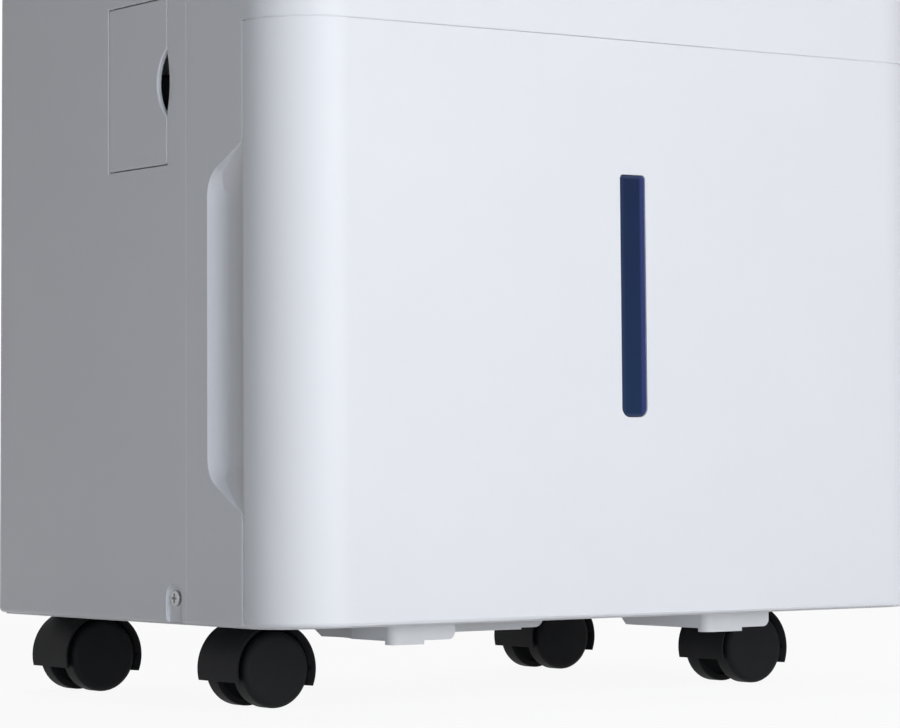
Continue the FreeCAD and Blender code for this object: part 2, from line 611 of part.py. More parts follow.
def add_rear_screw_seats(housing):
    for x in (-s.screw_rear_x, s.screw_rear_x):
        for z in (s.screw_up, s.screw_rear_high):
            housing.add_rod("Y", (x, z), SEAT_RADIUS, REAR - s.boss_depth, REAR - s.shell_wall / 2)
            housing.cut_rod("Y", (x, z), s.screw_head + s.fit_gap, REAR - s.slot_depth, REAR + OVER)
            housing.cut_rod("Y", (x, z), s.screw_shank, REAR - s.boss_depth - OVER, REAR)


def add_filter_slot(housing, inner):
    gap = s.fit_gap
    front = s.filter_back - s.filter_thick
    housing.cut_box((inner - OVER, HALF + OVER), (front - gap, s.filter_back + gap),
                    (s.filter_low - gap, s.filter_high + gap))
    rail = (-s.filter_half - s.ledge_thick, inner + s.shell_wall / 2)
    deep = (s.ledge_front, REAR - s.shell_wall / 2)
    housing.add_box(rail, deep, (s.filter_low - gap - s.ledge_thick, s.filter_low - gap))
    housing.add_box(rail, deep, (s.filter_high + gap, s.filter_high + gap + s.ledge_thick))


def add_gland_pocket(housing):
    pocket = s.gland_pocket
    wall = s.cup_wall
    spot = (-s.gland_x, s.gland_up)
    floor = REAR - s.gland_pocket_depth
    housing.add("XZ", rect(spot[0] - pocket - wall, spot[0] + pocket + wall, spot[1] - pocket - wall,
                           spot[1] + pocket + wall), floor - wall, REAR - s.shell_wall / 2)
    housing.cut("XZ", rect(spot[0] - pocket, spot[0] + pocket, spot[1] - pocket, spot[1] + pocket,
                           s.carry_round), floor, REAR + OVER)
    housing.cut_rod("Y", spot, s.gland_radius + s.run_gap, floor - wall - OVER, floor + OVER)


def make_top_cover():
    cover = Sub("top_cover")
    lip = HALF - s.shell_wall - s.fit_gap
    lip_front = FRONT + s.shell_wall + s.fit_gap
    lip_rear = REAR - s.shell_wall - s.fit_gap
    inner = lip - s.lip_wall
    lip_round = s.corner_round - s.shell_wall - s.fit_gap
    cover.add_crowned(HALF, FRONT, REAR, COVER_LOW, s.body_top)
    cover.add_crowned(lip, lip_front, lip_rear, s.cover_seam - s.lip_length, COVER_LOW)
    cover.cut_crowned(inner, lip_front + s.lip_wall, lip_rear - s.lip_wall,
                      s.cover_seam - s.lip_length - OVER, s.body_top - s.shell_wall)
    cover.round_edges(lip_round - s.lip_wall,
                      upright_at(y=lip_front + s.lip_wall + s.front_crown, x=inner))
    cover.round_edges(lip_round, upright_at(y=lip_front + s.front_crown, x=lip))
    cover.round_edges(s.corner_round, upright_at(y=FRONT + s.front_crown, x=HALF))
    cover.round_edges(s.rear_round, upright_at(y=REAR, x=HALF))
    cover.round_edges(s.top_round, level_at(s.body_top))
    collar = s.outlet_half + s.collar_wall
    cover.add_box((-collar, collar), (s.outlet_front - s.collar_wall, s.outlet_rear + s.collar_wall),
                  (COVER_LOW, s.body_top - s.shell_wall / 2))
    cover.cut_box((-s.outlet_half, s.outlet_half), (s.outlet_front, s.outlet_rear),
                  (COVER_LOW - OVER, s.body_top + OVER))
    pin_up = s.body_top - s.louvre_thick / 2
    pin_back = s.outlet_rear - s.louvre_gap - s.louvre_thick / 2
    cover.cut_rod("X", (pin_back, pin_up), s.louvre_pin + s.run_gap, -collar + s.collar_wall / 2,
                  collar - s.collar_wall / 2)
    gap = s.fit_gap
    cover.cut("XY", rect(-s.panel_half - gap, s.panel_half + gap, -s.panel_front - gap, -s.panel_rear + gap,
                         s.panel_round + gap), s.body_top - s.panel_thick, s.body_top + OVER)
    for number in range(len(BUTTONS)):
        cover.cut_rod("Z", (button_x(number), -s.button_row), s.button_radius + s.button_gap,
                      s.body_top - s.shell_wall - OVER, s.body_top)


def button_x(number):
    return s.button_pitch * number - s.button_first


def make_control_panel():
    panel = Sub("control_panel")
    low = s.body_top - s.panel_thick
    panel.add("XY", rect(-s.panel_half, s.panel_half, -s.panel_front, -s.panel_rear, s.panel_round),
              low, s.body_top)
    for number in range(len(BUTTONS)):
        panel.cut_rod("Z", (button_x(number), -s.button_row), s.button_radius + s.button_gap, low - OVER,
                      s.body_top + OVER)
    gap = s.window_fit
    panel.cut("XY", rect(-s.lens_place - s.lens_half - gap, -s.lens_place + s.lens_half + gap,
                         -s.button_row - s.lens_deep - gap, -s.button_row + s.lens_deep + gap,
                         s.lens_round + gap), low - OVER, s.body_top + OVER)
    lens = Sub("display_lens")
    lens.add("XY", rect(-s.lens_place - s.lens_half, -s.lens_place + s.lens_half, -s.button_row - s.lens_deep,
                        -s.button_row + s.lens_deep, s.lens_round), low, s.body_top - s.lens_sink)


def make_buttons():
    for number, name in enumerate(BUTTONS):
        button = Sub("button_" + name, button_x(number), -s.button_row, s.body_top)
        flange_top = -s.shell_wall - s.window_fit
        button.add_rod("Z", (0, 0), s.button_radius, -s.shell_wall - s.button_below, s.button_rise)
        button.round_edges(s.seam_round / 2, level_at(s.button_rise))
        button.add_rod("Z", (0, 0), s.button_radius + s.button_flange, flange_top - s.button_flange_thick,
                       flange_top)


def make_louvre():
    louvre = Sub("outlet_louvre")
    half = s.outlet_half - s.louvre_gap
    rear = s.outlet_rear - s.louvre_gap
    low = s.body_top - s.louvre_thick
    louvre.add_box((-half, half), (s.outlet_front + s.louvre_gap, rear), (low, s.body_top))
    louvre.round_edges(s.louvre_thick / 2 - s.run_gap, rear_long_edges(rear))
    pin = (rear - s.louvre_thick / 2, s.body_top - s.louvre_thick / 2)
    louvre.add_rod("X", pin, s.louvre_pin, -half - s.louvre_gap - s.hinge_pin,
                   half + s.louvre_gap + s.hinge_pin)


def rear_long_edges(y):
    def wanted(edge):
        box = edge.BoundBox
        return box.XLength > 1 and same(box.YMin, y) and same(box.YMax, y)
    return wanted


def make_outlet_grille():
    grille = Sub("outlet_grille")
    gap = s.fit_gap
    half = s.outlet_half - gap
    front = s.outlet_front + gap
    rear = s.outlet_rear - gap
    grille.add_box((-half, half), (front, rear), (s.grille_low, s.grille_high))
    count = 19
    first = -s.grille_pitch * (count - 1) / 2
    slot = grille.cut_box((first - s.grille_slot / 2, first + s.grille_slot / 2),
                          (front + s.grille_edge, rear - s.grille_edge),
                          (s.grille_low - OVER, s.grille_high + OVER))
    grille.row_of(slot, "X", s.grille_pitch, count)


def make_intake_grille():
    grille = Sub("intake_grille")
    grille.add("XZ", rect(-s.intake_half, s.intake_half, s.intake_low, s.intake_high, s.intake_round),
               REAR - s.shell_wall, REAR)
    lip = s.intake_lip
    grille.add("XZ", rect(-s.intake_half - lip, s.intake_half + lip, s.intake_low - lip, s.intake_high + lip,
                          s.intake_round), REAR - s.shell_wall - s.intake_lip_thick, REAR - s.shell_wall)
    opening = (2 * s.intake_half - 2 * s.intake_edge - 2 * s.intake_bar) / 3
    low = s.intake_low + s.intake_edge
    columns = []
    for column in (-1, 0, 1):
        middle = column * (opening + s.intake_bar)
        columns.append(rect(middle - opening / 2, middle + opening / 2, low, low + s.intake_slot,
                            s.intake_slot / 2 - s.run_gap))
    slot = grille.prism("PartDesign::Pocket", "XZ", columns, REAR - 2 * s.shell_wall, REAR + OVER)
    grille.row_of(slot, "Z", s.intake_pitch, 18)


def make_filter():
    frame = Sub("filter_frame")
    back = s.filter_back
    front = back - s.filter_thick
    frame.add_box((-s.filter_half, HALF), (front, back), (s.filter_low, s.filter_high))
    window = s.filter_half - s.filter_border
    low = s.filter_low + s.filter_border
    high = s.filter_high - s.filter_border
    frame.cut_box((-window, window), (front - OVER, back + OVER), (low, high))
    seat = s.mesh_seat
    middle = back - s.filter_thick / 2
    frame.cut_box((-window - seat, window + seat), (middle - s.mesh_thick / 2, middle + s.mesh_thick / 2),
                  (low - seat, high + seat))
    tab = (s.filter_low + s.filter_high) / 2
    frame.cut_box((HALF - s.filter_notch_deep, HALF + OVER), (front - OVER, front + s.filter_thick / 2),
                  (tab - s.filter_notch, tab + s.filter_notch))
    mesh = Sub("filter_mesh")
    mesh.add_box((-window - seat, window + seat), (middle - s.mesh_thick / 2, middle + s.mesh_thick / 2),
                 (low - seat, high + seat))


def make_drain_cover():
    door = Sub("drain_cover")
    outer = -HALF
    outline = [(-s.door_front, s.door_low, s.door_round), (s.door_rear, s.door_low),
               (s.door_rear, s.door_high), (-s.door_front, s.door_high, s.door_round)]
    door.add("YZ", outline, outer, outer + s.shell_wall)
    door.round_edges(s.shell_wall / 2 - s.run_gap, upright_at(y=s.door_rear))
    notch = (-s.door_front - s.notch_radius + s.notch_depth, s.notch_up)
    door.cut_rod("X", notch, s.notch_radius, outer - OVER, outer + s.shell_wall + OVER)
    pin = (outer + s.shell_wall / 2, s.door_rear - s.shell_wall / 2)
    door.add_rod("Z", pin, s.hinge_pin, s.door_low - s.hinge_length, s.door_high + s.hinge_length)


def make_tank_front():
    shell = Sub("tank_front")
    rear = -s.tank_edge
    shell.add_crowned(HALF, FRONT, rear, s.body_bottom, TANK_TOP)
    inner = HALF - s.tank_wall
    inner_front = FRONT + s.tank_wall
    low = s.body_bottom + s.tank_wall
    high = TANK_TOP - s.tank_wall
    shell.cut_crowned(inner, inner_front, rear + OVER, low, high)
    shell.round_edges(s.corner_round - s.tank_wall, upright_at(y=inner_front + s.front_crown, x=inner))
    shell.round_edges(s.corner_round, upright_at(y=FRONT + s.front_crown, x=HALF))
    shell.round_edges(s.tank_foot_round, level_at(s.body_bottom, beside=rear))
    shell.round_edges(s.tank_edge_round, level_at(TANK_TOP, beside=rear))
    opening = FRONT + s.tank_flange + s.tank_wall
    shell.cut("XY", [(-inner, opening, FLANGE_ROUND), (inner, opening, FLANGE_ROUND), (inner, rear + OVER),
                     (-inner, rear + OVER)], s.body_bottom - OVER, TANK_TOP + OVER)
    left = -s.window_place - s.window_width / 2
    right = -s.window_place + s.window_width / 2
    hole = [(left, s.window_low, s.window_round), (right, s.window_low, s.window_round),
            (right, s.window_high, s.window_top_round), (left, s.window_high, s.window_top_round)]
    shell.cut("XZ", hole, FRONT - OVER, inner_front + OVER)
    for x in (-s.rib_place, s.rib_place):
        shell.add_box((x - s.rib_thick / 2, x + s.rib_thick / 2),
                      (FRONT + s.tank_wall / 2 + s.seam_round, -s.bucket_front),
                      (s.body_bottom + s.rib_margin, s.bucket_top - s.rib_margin))


def make_water_window():
    window = Sub("water_window")
    fit = s.window_fit
    left = -s.window_place - s.window_width / 2 + fit
    right = -s.window_place + s.window_width / 2 - fit
    low = s.window_low + fit
    high = s.window_high - fit
    pane = [(left, low, s.window_round - fit), (right, low, s.window_round - fit),
            (right, high, s.window_top_round - fit), (left, high, s.window_top_round - fit)]
    seat = FRONT + s.tank_wall + s.run_gap
    window.add("XZ", pane, FRONT + s.window_sink, seat)
    edge = s.window_flange
    window.add("XZ", rect(left - edge, right + edge, low - edge, high + edge), seat,
               seat + s.window_flange_thick)


def make_tank_bucket():
    bucket = Sub("tank_bucket")
    half = s.bucket_half
    wall = s.bucket_wall
    bucket.add("XY", rect(-half, half, -s.bucket_front, -s.bucket_back, s.bucket_round), BUCKET_LOW,
               s.bucket_top)
    bucket.cut("XY", rect(-half + wall, half - wall, -s.bucket_front + wall, -s.bucket_back - wall,
                          s.bucket_round - wall), BUCKET_LOW + wall, s.bucket_top + OVER)
    hub = s.float_arm / 2 + s.fit_gap
    back = -s.bucket_back - wall / 2
    for near, far in ((-hub - s.float_ear, -hub), (hub, hub + s.float_ear)):
        bucket.add_box((near - s.float_place, far - s.float_place),
                       (-s.float_pivot_back - s.float_ear_half, back),
                       (s.float_pivot_up - s.float_ear_half, s.float_pivot_up + s.float_ear_half))
    bucket.cut_rod("X", (-s.float_pivot_back, s.float_pivot_up), s.float_pin + s.run_gap,
                   -s.float_place - hub - s.float_ear - OVER, -s.float_place + hub + s.float_ear + OVER)


def make_tank_lid():
    lid = Sub("tank_lid")
    half = s.bucket_half
    lid.add("XY", rect(-half, half, -s.bucket_front, -s.bucket_back, s.bucket_round), s.bucket_top, LID_TOP)
    step = s.bucket_wall + s.fit_gap
    skirt = step + s.lip_wall
    outer = rect(-half + step, half - step, -s.bucket_front + step, -s.bucket_back - step,
                 s.bucket_round - step)
    inner = rect(-half + skirt, half - skirt, -s.bucket_front + skirt, -s.bucket_back - skirt,
                 s.bucket_round - skirt)
    lid.add_ring("XY", outer, inner, s.bucket_top - s.lid_drop, s.bucket_top)
    drip = (DRIP_X, -s.drip_back - s.funnel_rim)
    lid.add_rod("Z", drip, s.funnel_radius, LID_TOP, LID_TOP + s.funnel_high)
    lid.cut_rod("Z", drip, s.funnel_radius - s.funnel_rim, s.bucket_top - OVER,
                LID_TOP + s.funnel_high + OVER)
    pivot = LID_TOP + s.handle_pivot_up
    near = s.handle_half + s.handle_rod + s.fit_gap
    for side in (-1, 1):
        lid.add_box(sorted_span(side, near, near + s.ear_thick),
                    (-s.handle_pivot_back - s.ear_half, -s.handle_pivot_back + s.ear_half),
                    (LID_TOP, pivot + s.ear_over))
    lid.cut_rod("X", (-s.handle_pivot_back, pivot), s.handle_pin + s.run_gap, -near - s.ear_thick - OVER,
                near + s.ear_thick + OVER)


def solid_rod(axis, x, y, z, radius, length):
    """A plain cylinder that starts at a point and runs along one axis."""
    turn = {"X": Rotation(Vector(0, 1, 0), 90), "Y": Rotation(Vector(1, 0, 0), -90), "Z": Rotation()}[axis]
    rod = doc.addObject("Part::Cylinder", "Rod")
    bind(rod, "Radius", radius)
    bind(rod, "Height", length)
    rod.Placement = Placement(Vector(), turn)
    place(rod, x, y, z)
    return rod


def ball(x, y, z, radius):
    sphere = doc.addObject("Part::Sphere", "Ball")
    bind(sphere, "Radius", radius)
    place(sphere, x, y, z)
    return sphere


def fused(name, pieces):
    joint = doc.addObject("Part::MultiFuse", name)
    joint.Shapes = pieces
    joint.Refine = True
    joint.Label = name
    parts.append(joint)
    return joint


def make_tank_handle():
    half = s.handle_half
    rod = s.handle_rod
    back = -s.handle_pivot_back
    bar = back - s.handle_reach
    up = LID_TOP + s.handle_pivot_up
    pin = s.handle_rod + s.fit_gap + s.ear_thick
    pieces = [solid_rod("X", -half, bar, up, rod, 2 * half)]
    for side in (-1, 1):
        pieces.append(solid_rod("Y", side * half, bar, up, rod, s.handle_reach))
        pieces.append(ball(side * half, bar, up, rod))
        pieces.append(ball(side * half, back, up, rod))
        start = half if side > 0 else -half - pin
        pieces.append(solid_rod("X", start, back, up, s.handle_pin, pin))
    fused("tank_handle", pieces)


def make_float():
    swim = Sub("float", -s.float_place, -s.float_pivot_back, s.float_pivot_up)
    half = s.float_arm / 2
    box_rear = -s.float_reach
    swim.add_rod("X", (0, 0), s.float_hub, -half, half)
    swim.add_box((-half, half), (box_rear - OVER, 0), (-s.float_arm_thick / 2, s.float_arm_thick / 2))
    swim.add("XY", rect(-s.float_width / 2, s.float_width / 2, box_rear - s.float_length, box_rear,
                        s.float_arm_thick), -s.float_height / 2, s.float_height / 2)
    pin = half + s.fit_gap + s.float_ear
    swim.add_rod("X", (0, 0), s.float_pin, -pin, pin)


def make_tank_switch():
    switch = Sub("tank_switch")
    half = s.switch_width / 2
    x = -s.switch_place
    case_front = BAY_REAR + s.cheek_depth
    switch.add_box((x - half, x + half), (case_front, case_front + s.switch_depth),
                   (s.switch_low, s.cheek_high))
    for near in (x - half, x + half - s.cheek_thick):
        switch.add_box((near, near + s.cheek_thick), (BAY_REAR, case_front + OVER),
                       (s.cheek_low, s.cheek_high))
    switch.cut_rod("X", (-s.lever_pivot_back, s.lever_pivot_up), s.lever_pin + s.run_gap, x - half - OVER,
                   x + half + OVER)
    lever = Sub("switch_lever", x, -s.lever_pivot_back, s.lever_pivot_up)
    width = s.lever_width / 2
    tip = -s.bucket_back + s.lever_pivot_back + s.fit_gap
    lever.add_rod("X", (0, 0), s.lever_hub, -width, width)
    blade = [(-s.lever_hub, 0), (0, 0), (tip + s.lever_thick, -s.lever_drop), (tip, -s.lever_drop)]
    lever.add("YZ", blade, -width, width)
    pin = half - s.fit_gap
    lever.add_rod("X", (0, 0), s.lever_pin, -pin, pin)


def make_base_pan():
    pan = Sub("base_pan")
    rear = REAR - s.shell_wall
    half = s.pan_half
    pan.add("XY", [(-half, -s.pan_front, FLANGE_ROUND), (half, -s.pan_front, FLANGE_ROUND), (half, rear),
                   (-half, rear)], PAN_LOW, PAN_TOP)
    rim = s.pan_rim_wall
    rim_front = BAY_REAR + s.fit_gap
    pan.add_ring("XY", rect(-half, half, rim_front, rear),
                 rect(-half + rim, half - rim, rim_front + rim, rear - rim), PAN_TOP, PAN_TOP + s.pan_rim)
    for x in (-s.screw_rear_x, s.screw_rear_x):
        pan.cut_rod("Y", (x, s.screw_up), SEAT_RADIUS + s.fit_gap, rear - rim - OVER, rear + OVER)
    for side in (-1, 1):
        rail = sorted_span(side, s.rail_place, s.rail_place + s.rail_thick)
        pan.add_box(rail, (-s.rail_front, -s.bucket_back), (PAN_TOP, PAN_TOP + s.rail_high))
    bore = s.stem_radius + s.run_gap
    for x, y in stem_places():
        pan.add_rod("Z", (x, y), bore + s.socket_wall, PAN_TOP - OVER, PAN_LOW + s.stem_length)
        pan.cut_rod("Z", (x, y), bore, PAN_LOW - OVER, PAN_LOW + s.stem_length - s.socket_wall / 2)
    for x, y in mount_places():
        pan.add_rod("Z", (s.compressor_x + x, s.compressor_y + y), s.post_radius, PAN_TOP - OVER,
                    PLATE_TOP + s.nut_high + s.post_over)


def make_feet():
    """Three skids under the pan, which meet the floor's bumps before the casing does."""
    feet = Sub("base_feet")
    low = PAN_LOW - s.foot_drop
    front = -s.foot_front
    back = -s.foot_back
    spans = ((-s.foot_left_outer, -s.foot_left_inner), (s.foot_right_inner, s.foot_right_outer))
    for left, right in spans:
        skid = [(left, PAN_LOW), (left, low), (right, low, s.foot_lower_round), (right, PAN_LOW)]
        feet.add("XZ", skid, front, back)
    for corner in (s.foot_left_outer, s.foot_right_inner):
        feet.round_edges(s.foot_round, upright_at(y=front, x=corner))
    slope = [(back - s.foot_slope, low - OVER), (back + OVER, low - OVER), (back + OVER, PAN_LOW),
             (back, PAN_LOW), (back - s.foot_slope, low)]
    feet.cut("YZ", slope, -s.foot_left_outer - OVER, s.foot_right_outer + OVER)
    for side in (-1, 1):
        feet.cut_rod("Z", (side * s.stem_side, -s.stem_front), s.foot_sweep, low - OVER, PAN_LOW + OVER)
    for left, right in spans:
        edge = right - s.pad_inset
        pad = [(left, front, s.foot_round), (edge, front), (edge, front + s.pad_length),
               (left, front + s.pad_length)]
        feet.add("XY", pad, low - s.pad_drop, low)
    half = s.mid_foot_half
    mid_low = PAN_LOW - s.mid_foot_drop
    feet.add("XZ", [(-half, PAN_LOW), (-half, mid_low), (half, mid_low, s.mid_foot_round), (half, PAN_LOW)],
             -s.mid_foot_front, s.mid_foot_back)
    feet.add_box((-half, half / 2), (-s.mid_foot_front, -s.mid_foot_front + s.pad_length),
                 (mid_low - s.mid_pad_drop, mid_low))


def stem_places():
    return [(side * s.stem_side, y) for side in (-1, 1) for y in (-s.stem_front, s.stem_rear)]


def mount_places():
    """Where the compressor's three bolts stand, from its own axis."""
    angles = [math.radians(a) for a in (90, 210, 330)]
    return [(round(math.cos(a), 4) * s.mount_circle, round(math.sin(a), 4) * s.mount_circle) for a in angles]


def make_casters():
    for side, left_right in ((-1, "left"), (1, "right")):
        for y, front_rear in ((-s.stem_front, "front"), (s.stem_rear, "rear")):
            make_caster("caster_%s_%s" % (front_rear, left_right), side * s.stem_side, y)


def make_caster(name, stem_x, stem_y):
    """A twin-wheel caster; its axle trails the stem towards -X."""
    axle = (-s.trail, s.wheel_radius)
    hood = Sub(name + "_hood", stem_x, stem_y)
    low = s.wheel_radius - s.hood_skirt
    reach = s.hood_radius + OVER
    hood.add_rod("Y", axle, s.hood_radius, -s.hood_half, s.hood_half)
    hood.add_rod("Z", (0, 0), s.boss_radius, s.wheel_radius, HOOD_TOP)
    hood.add_rod("Z", (0, 0), s.stem_radius, s.wheel_radius, HOOD_TOP + s.stem_length - s.socket_wall)
    below = s.wheel_radius - reach
    skirt = [(-s.trail - reach, below), (-s.trail + reach, below), (-s.trail + reach, low),
             (-s.trail - reach, low + s.skirt_rise)]
    hood.cut("XZ", skirt, -s.caster_half, s.caster_half)
    top_cut = [(-s.trail - reach, -s.caster_half), (-s.stem_radius - OVER, -s.caster_half),
               (-s.stem_radius - OVER, s.caster_half), (-s.trail - reach, s.caster_half)]
    hood.cut("XY", top_cut, HOOD_TOP, HOOD_TOP + OVER * 2)
    wheel_space = s.hood_radius - s.hood_wall
    for near, far in ((s.web_half, s.caster_half), (-s.caster_half, -s.web_half)):
        hood.cut_rod("Y", axle, wheel_space, near, far)
    for way in (-1, 1):
        flare_hood(hood, axle, wheel_space, way)
    hood.cut_rod("Y", axle, s.axle_radius + s.run_gap / 2, -s.caster_half, s.caster_half)
    centre = (stem_x - s.trail, stem_y, s.wheel_radius)
    rod = Sub(name + "_axle", *centre)
    rod.add_rod("Y", (0, 0), s.axle_radius, -s.caster_half + s.axle_cap, s.caster_half - s.axle_cap)
    for way, label in ((-1, "wheel_near"), (1, "wheel_far")):
        wheel = Sub("%s_%s" % (name, label), *centre)
        outer = way * s.caster_half
        inner = way * (s.web_half + s.wheel_side_gap)
        bevel = s.wheel_chamfer
        small = s.wheel_inner_chamfer
        bore_end = outer - way * (s.axle_cap - s.run_gap)
        bore = s.axle_radius + s.run_gap
        wheel.revolve([(0, outer), (s.wheel_radius - bevel, outer), (s.wheel_radius, outer - way * bevel),
                       (s.wheel_radius, inner + way * small), (s.wheel_radius - small, inner),
                       (bore, inner), (bore, bore_end), (0, bore_end)])


def flare_hood(hood, axle, radius, way):
    """The hood's open end widens towards its rim."""
    start = way * (s.hood_half - s.hood_flare_deep)
    end = way * (s.hood_half + OVER)
    wide = radius + s.hood_flare * (s.hood_flare_deep + OVER) / s.hood_flare_deep
    rings = []
    for y, size in ((start, radius - OVER / 2), (end, wide)):
        sketch = hood.sketch("XZ", y, y)
        draw_circle(sketch, axle, size)
        rings.append(sketch)
    hollow = hood.body.newObject("PartDesign::SubtractiveLoft", "Flare")
    hollow.Profile = rings[0]
    hollow.Sections = rings[1:]
    hollow.Ruled = True
    hood.body.Tip = hollow


def make_tray():
    tray = Sub("drip_tray")
    half = s.tray_half
    wall = s.tray_wall
    low = CEILING_TOP
    trough = (s.trough_near, s.trough_far)
    trough_top = low + s.trough_deep
    tray.add_box((-half, half), (s.tray_front, s.tray_rear), (low, TRAY_TOP))
    tray.add_box(trough, (-s.trough_front, s.tray_front + wall), (low, trough_top))
    tray.cut_box((-half + wall, half - wall), (s.tray_front + wall, s.tray_rear - wall),
                 (low + wall, TRAY_TOP + OVER))
    tray.cut_box((trough[0] + wall, trough[1] - wall), (-s.trough_front + wall, s.tray_front + 2 * wall),
                 (low + wall, trough_top + OVER))
    drip = (DRIP_X, -s.drip_back)
    tray.add_rod("Z", drip, s.drip_radius, low - s.drip_length, low + OVER)
    tray.cut_rod("Z", drip, s.drip_bore, low - s.drip_length - OVER, low + wall + OVER)
    outfall = (-s.spout_tray_x, s.tray_front + s.spout_radius + wall + OVER)
    tray.cut_rod("Z", outfall, s.spout_bore, low - OVER, low + wall + OVER)


def make_coil(name, front, way):
    """A block of fins with its row of tubes; the tube ends come out on one side."""
    middle = front + s.coil_deep / 2
    rear = front + s.coil_deep
    fins = Sub(name + "_fins")
    fins.add_box((-s.coil_half, s.coil_half), (front, rear), (COIL_LOW, s.coil_high))
    count = 29
    first = -s.fin_pitch * (count - 1) / 2
    for near, far in ((front - OVER, front + s.fin_groove_deep), (rear - s.fin_groove_deep, rear + OVER)):
        groove = fins.cut_box((first - s.fin_groove / 2, first + s.fin_groove / 2), (near, far),
                              (COIL_LOW + s.fin_groove, s.coil_high - s.fin_groove))
        fins.row_of(groove, "X", s.fin_pitch, count)
    bore = fins.cut_rod("X", (middle, s.tube_first), s.tube_radius + s.tube_gap, -s.coil_half - OVER,
                        s.coil_half + OVER)
    fins.row_of(bore, "Z", s.tube_pitch, TUBE_PASSES)
    return coil_bars(middle, way)


def coil_bars(middle, way):
    """The straight passes of one coil and the bends that join them end to end."""
    end = s.coil_half + s.tube_over
    pieces = []
    for number in range(TUBE_PASSES):
        up = s.tube_first + s.tube_pitch * number
        pieces.append(solid_rod("X", -end, middle, up, s.tube_radius, 2 * end))
    for number in range(TUBE_PASSES - 1):
        side = way if number % 2 == 0 else -way
        pieces.append(return_bend(side, end, middle, s.tube_first + s.tube_pitch * number + s.tube_pitch / 2))
    return pieces


def return_bend(side, end, y, z):
    """Half a ring that joins two passes at one end of a coil."""
    bend = doc.addObject("Part::Torus", "Bend")
    bind(bend, "Radius1", s.tube_pitch / 2)
    bind(bend, "Radius2", s.tube_radius)
    bend.Angle3 = 180
    lie_down = Rotation(Vector(1, 0, 0), 90)
    open_way = Rotation(Vector(0, 1, 0), 90 if side > 0 else -90)
    bend.Placement = Placement(Vector(), open_way.multiply(lie_down))
    place(bend, side * end, y, z)
    return bend


def tube_solid(points, radius, bend):
    """A round bar along straight runs joined by tangent arcs."""
    spots = [Vector(*[as_size(c).now for c in point]) for point in points]
    radius = as_size(radius).now
    bend = as_size(bend).now
    edges = []
    start = spots[0]
    for before, corner, after in zip(spots, spots[1:], spots[2:]):
        back = (before - corner).normalize()
        ahead = (after - corner).normalize()
        half = back.getAngle(ahead) / 2
        reach = bend / math.tan(half)
        first = corner + back * reach
        last = corner + ahead * reach
        middle = corner + (back + ahead).normalize() * (bend / math.sin(half) - bend)
        edges.append(Part.LineSegment(start, first).toShape())
        edges.append(Part.Arc(first, middle, last).toShape())
        start = last
    edges.append(Part.LineSegment(start, spots[-1]).toShape())
    path = Part.Wire(edges)
    ring = Part.Wire([Part.Circle(spots[0], spots[1] - spots[0], radius).toShape()])
    return path.makePipeShell([ring], True, False)


def shaped(name, shape):
    """A sub-part whose bent shape is made whole and then placed."""
    feature = doc.addObject("Part::Feature", name)
    feature.Label = name
    feature.Shape = shape
    feature.Placement = Placement()
    parts.append(feature)
    return feature


def make_pipes():
    right = s.coil_half + s.tube_over
    hot = s.condenser_front + s.coil_deep / 2
    cold = s.evaporator_front + s.coil_deep / 2
    top_pass = s.tube_first + s.tube_pitch * (TUBE_PASSES - 1)
    level = s.pipe_level
    side = s.pipe_side
    sump_x = s.compressor_x - s.accumulator_off
    between = (s.condenser_front + s.coil_deep + s.evaporator_front) / 2
    discharge = [(s.compressor_x, s.compressor_y, s.compressor_high), (s.compressor_x, s.compressor_y, level),
                 (side, s.compressor_y, level), (side, hot, level), (side, hot, top_pass),
                 (right, hot, top_pass)]
    suction = [(sump_x, s.compressor_y, s.accumulator_high), (sump_x, s.compressor_y, level),
               (sump_x, cold, level), (-side, cold, level), (-side, cold, top_pass), (-right, cold, top_pass)]
    far = s.capillary_side
    capillary = [(right, hot, s.tube_first), (far, hot, s.tube_first), (far, between, s.tube_first),
                 (-far, between, s.tube_first), (-far, cold, s.tube_first), (-right, cold, s.tube_first)]
    solids = [tube_solid(discharge, s.pipe_radius, s.pipe_bend),
              tube_solid(suction, s.pipe_radius, s.pipe_bend),
              tube_solid(capillary, s.capillary_radius, s.capillary_bend)]
    shaped("refrigerant_pipes", Part.makeCompound(solids))


def make_drain_spout():
    cup_floor = -HALF + s.cup_depth
    out = cup_floor - s.spout_reach
    start = (-s.spout_tray_x, s.tray_front + s.spout_radius + s.tray_wall + OVER, CEILING_TOP)
    corner = (start[0], start[1], s.spout_up)
    turn = (start[0], -s.spout_y, s.spout_up)
    route = [start, corner, turn, (out, -s.spout_y, s.spout_up)]
    spout = tube_solid(route, s.spout_radius, s.spout_bend)
    bore = tube_solid(route, s.spout_bore, s.spout_bend)
    shaped("drain_spout", spout.cut(bore))
    plug = Sub("drain_plug")
    cap = s.spout_radius + s.plug_fit
    plug.add_rod("X", (-s.spout_y, s.spout_up), cap + s.plug_wall, out - s.plug_wall, out + s.plug_length)
    plug.cut_rod("X", (-s.spout_y, s.spout_up), cap, out, out + s.plug_length + OVER)


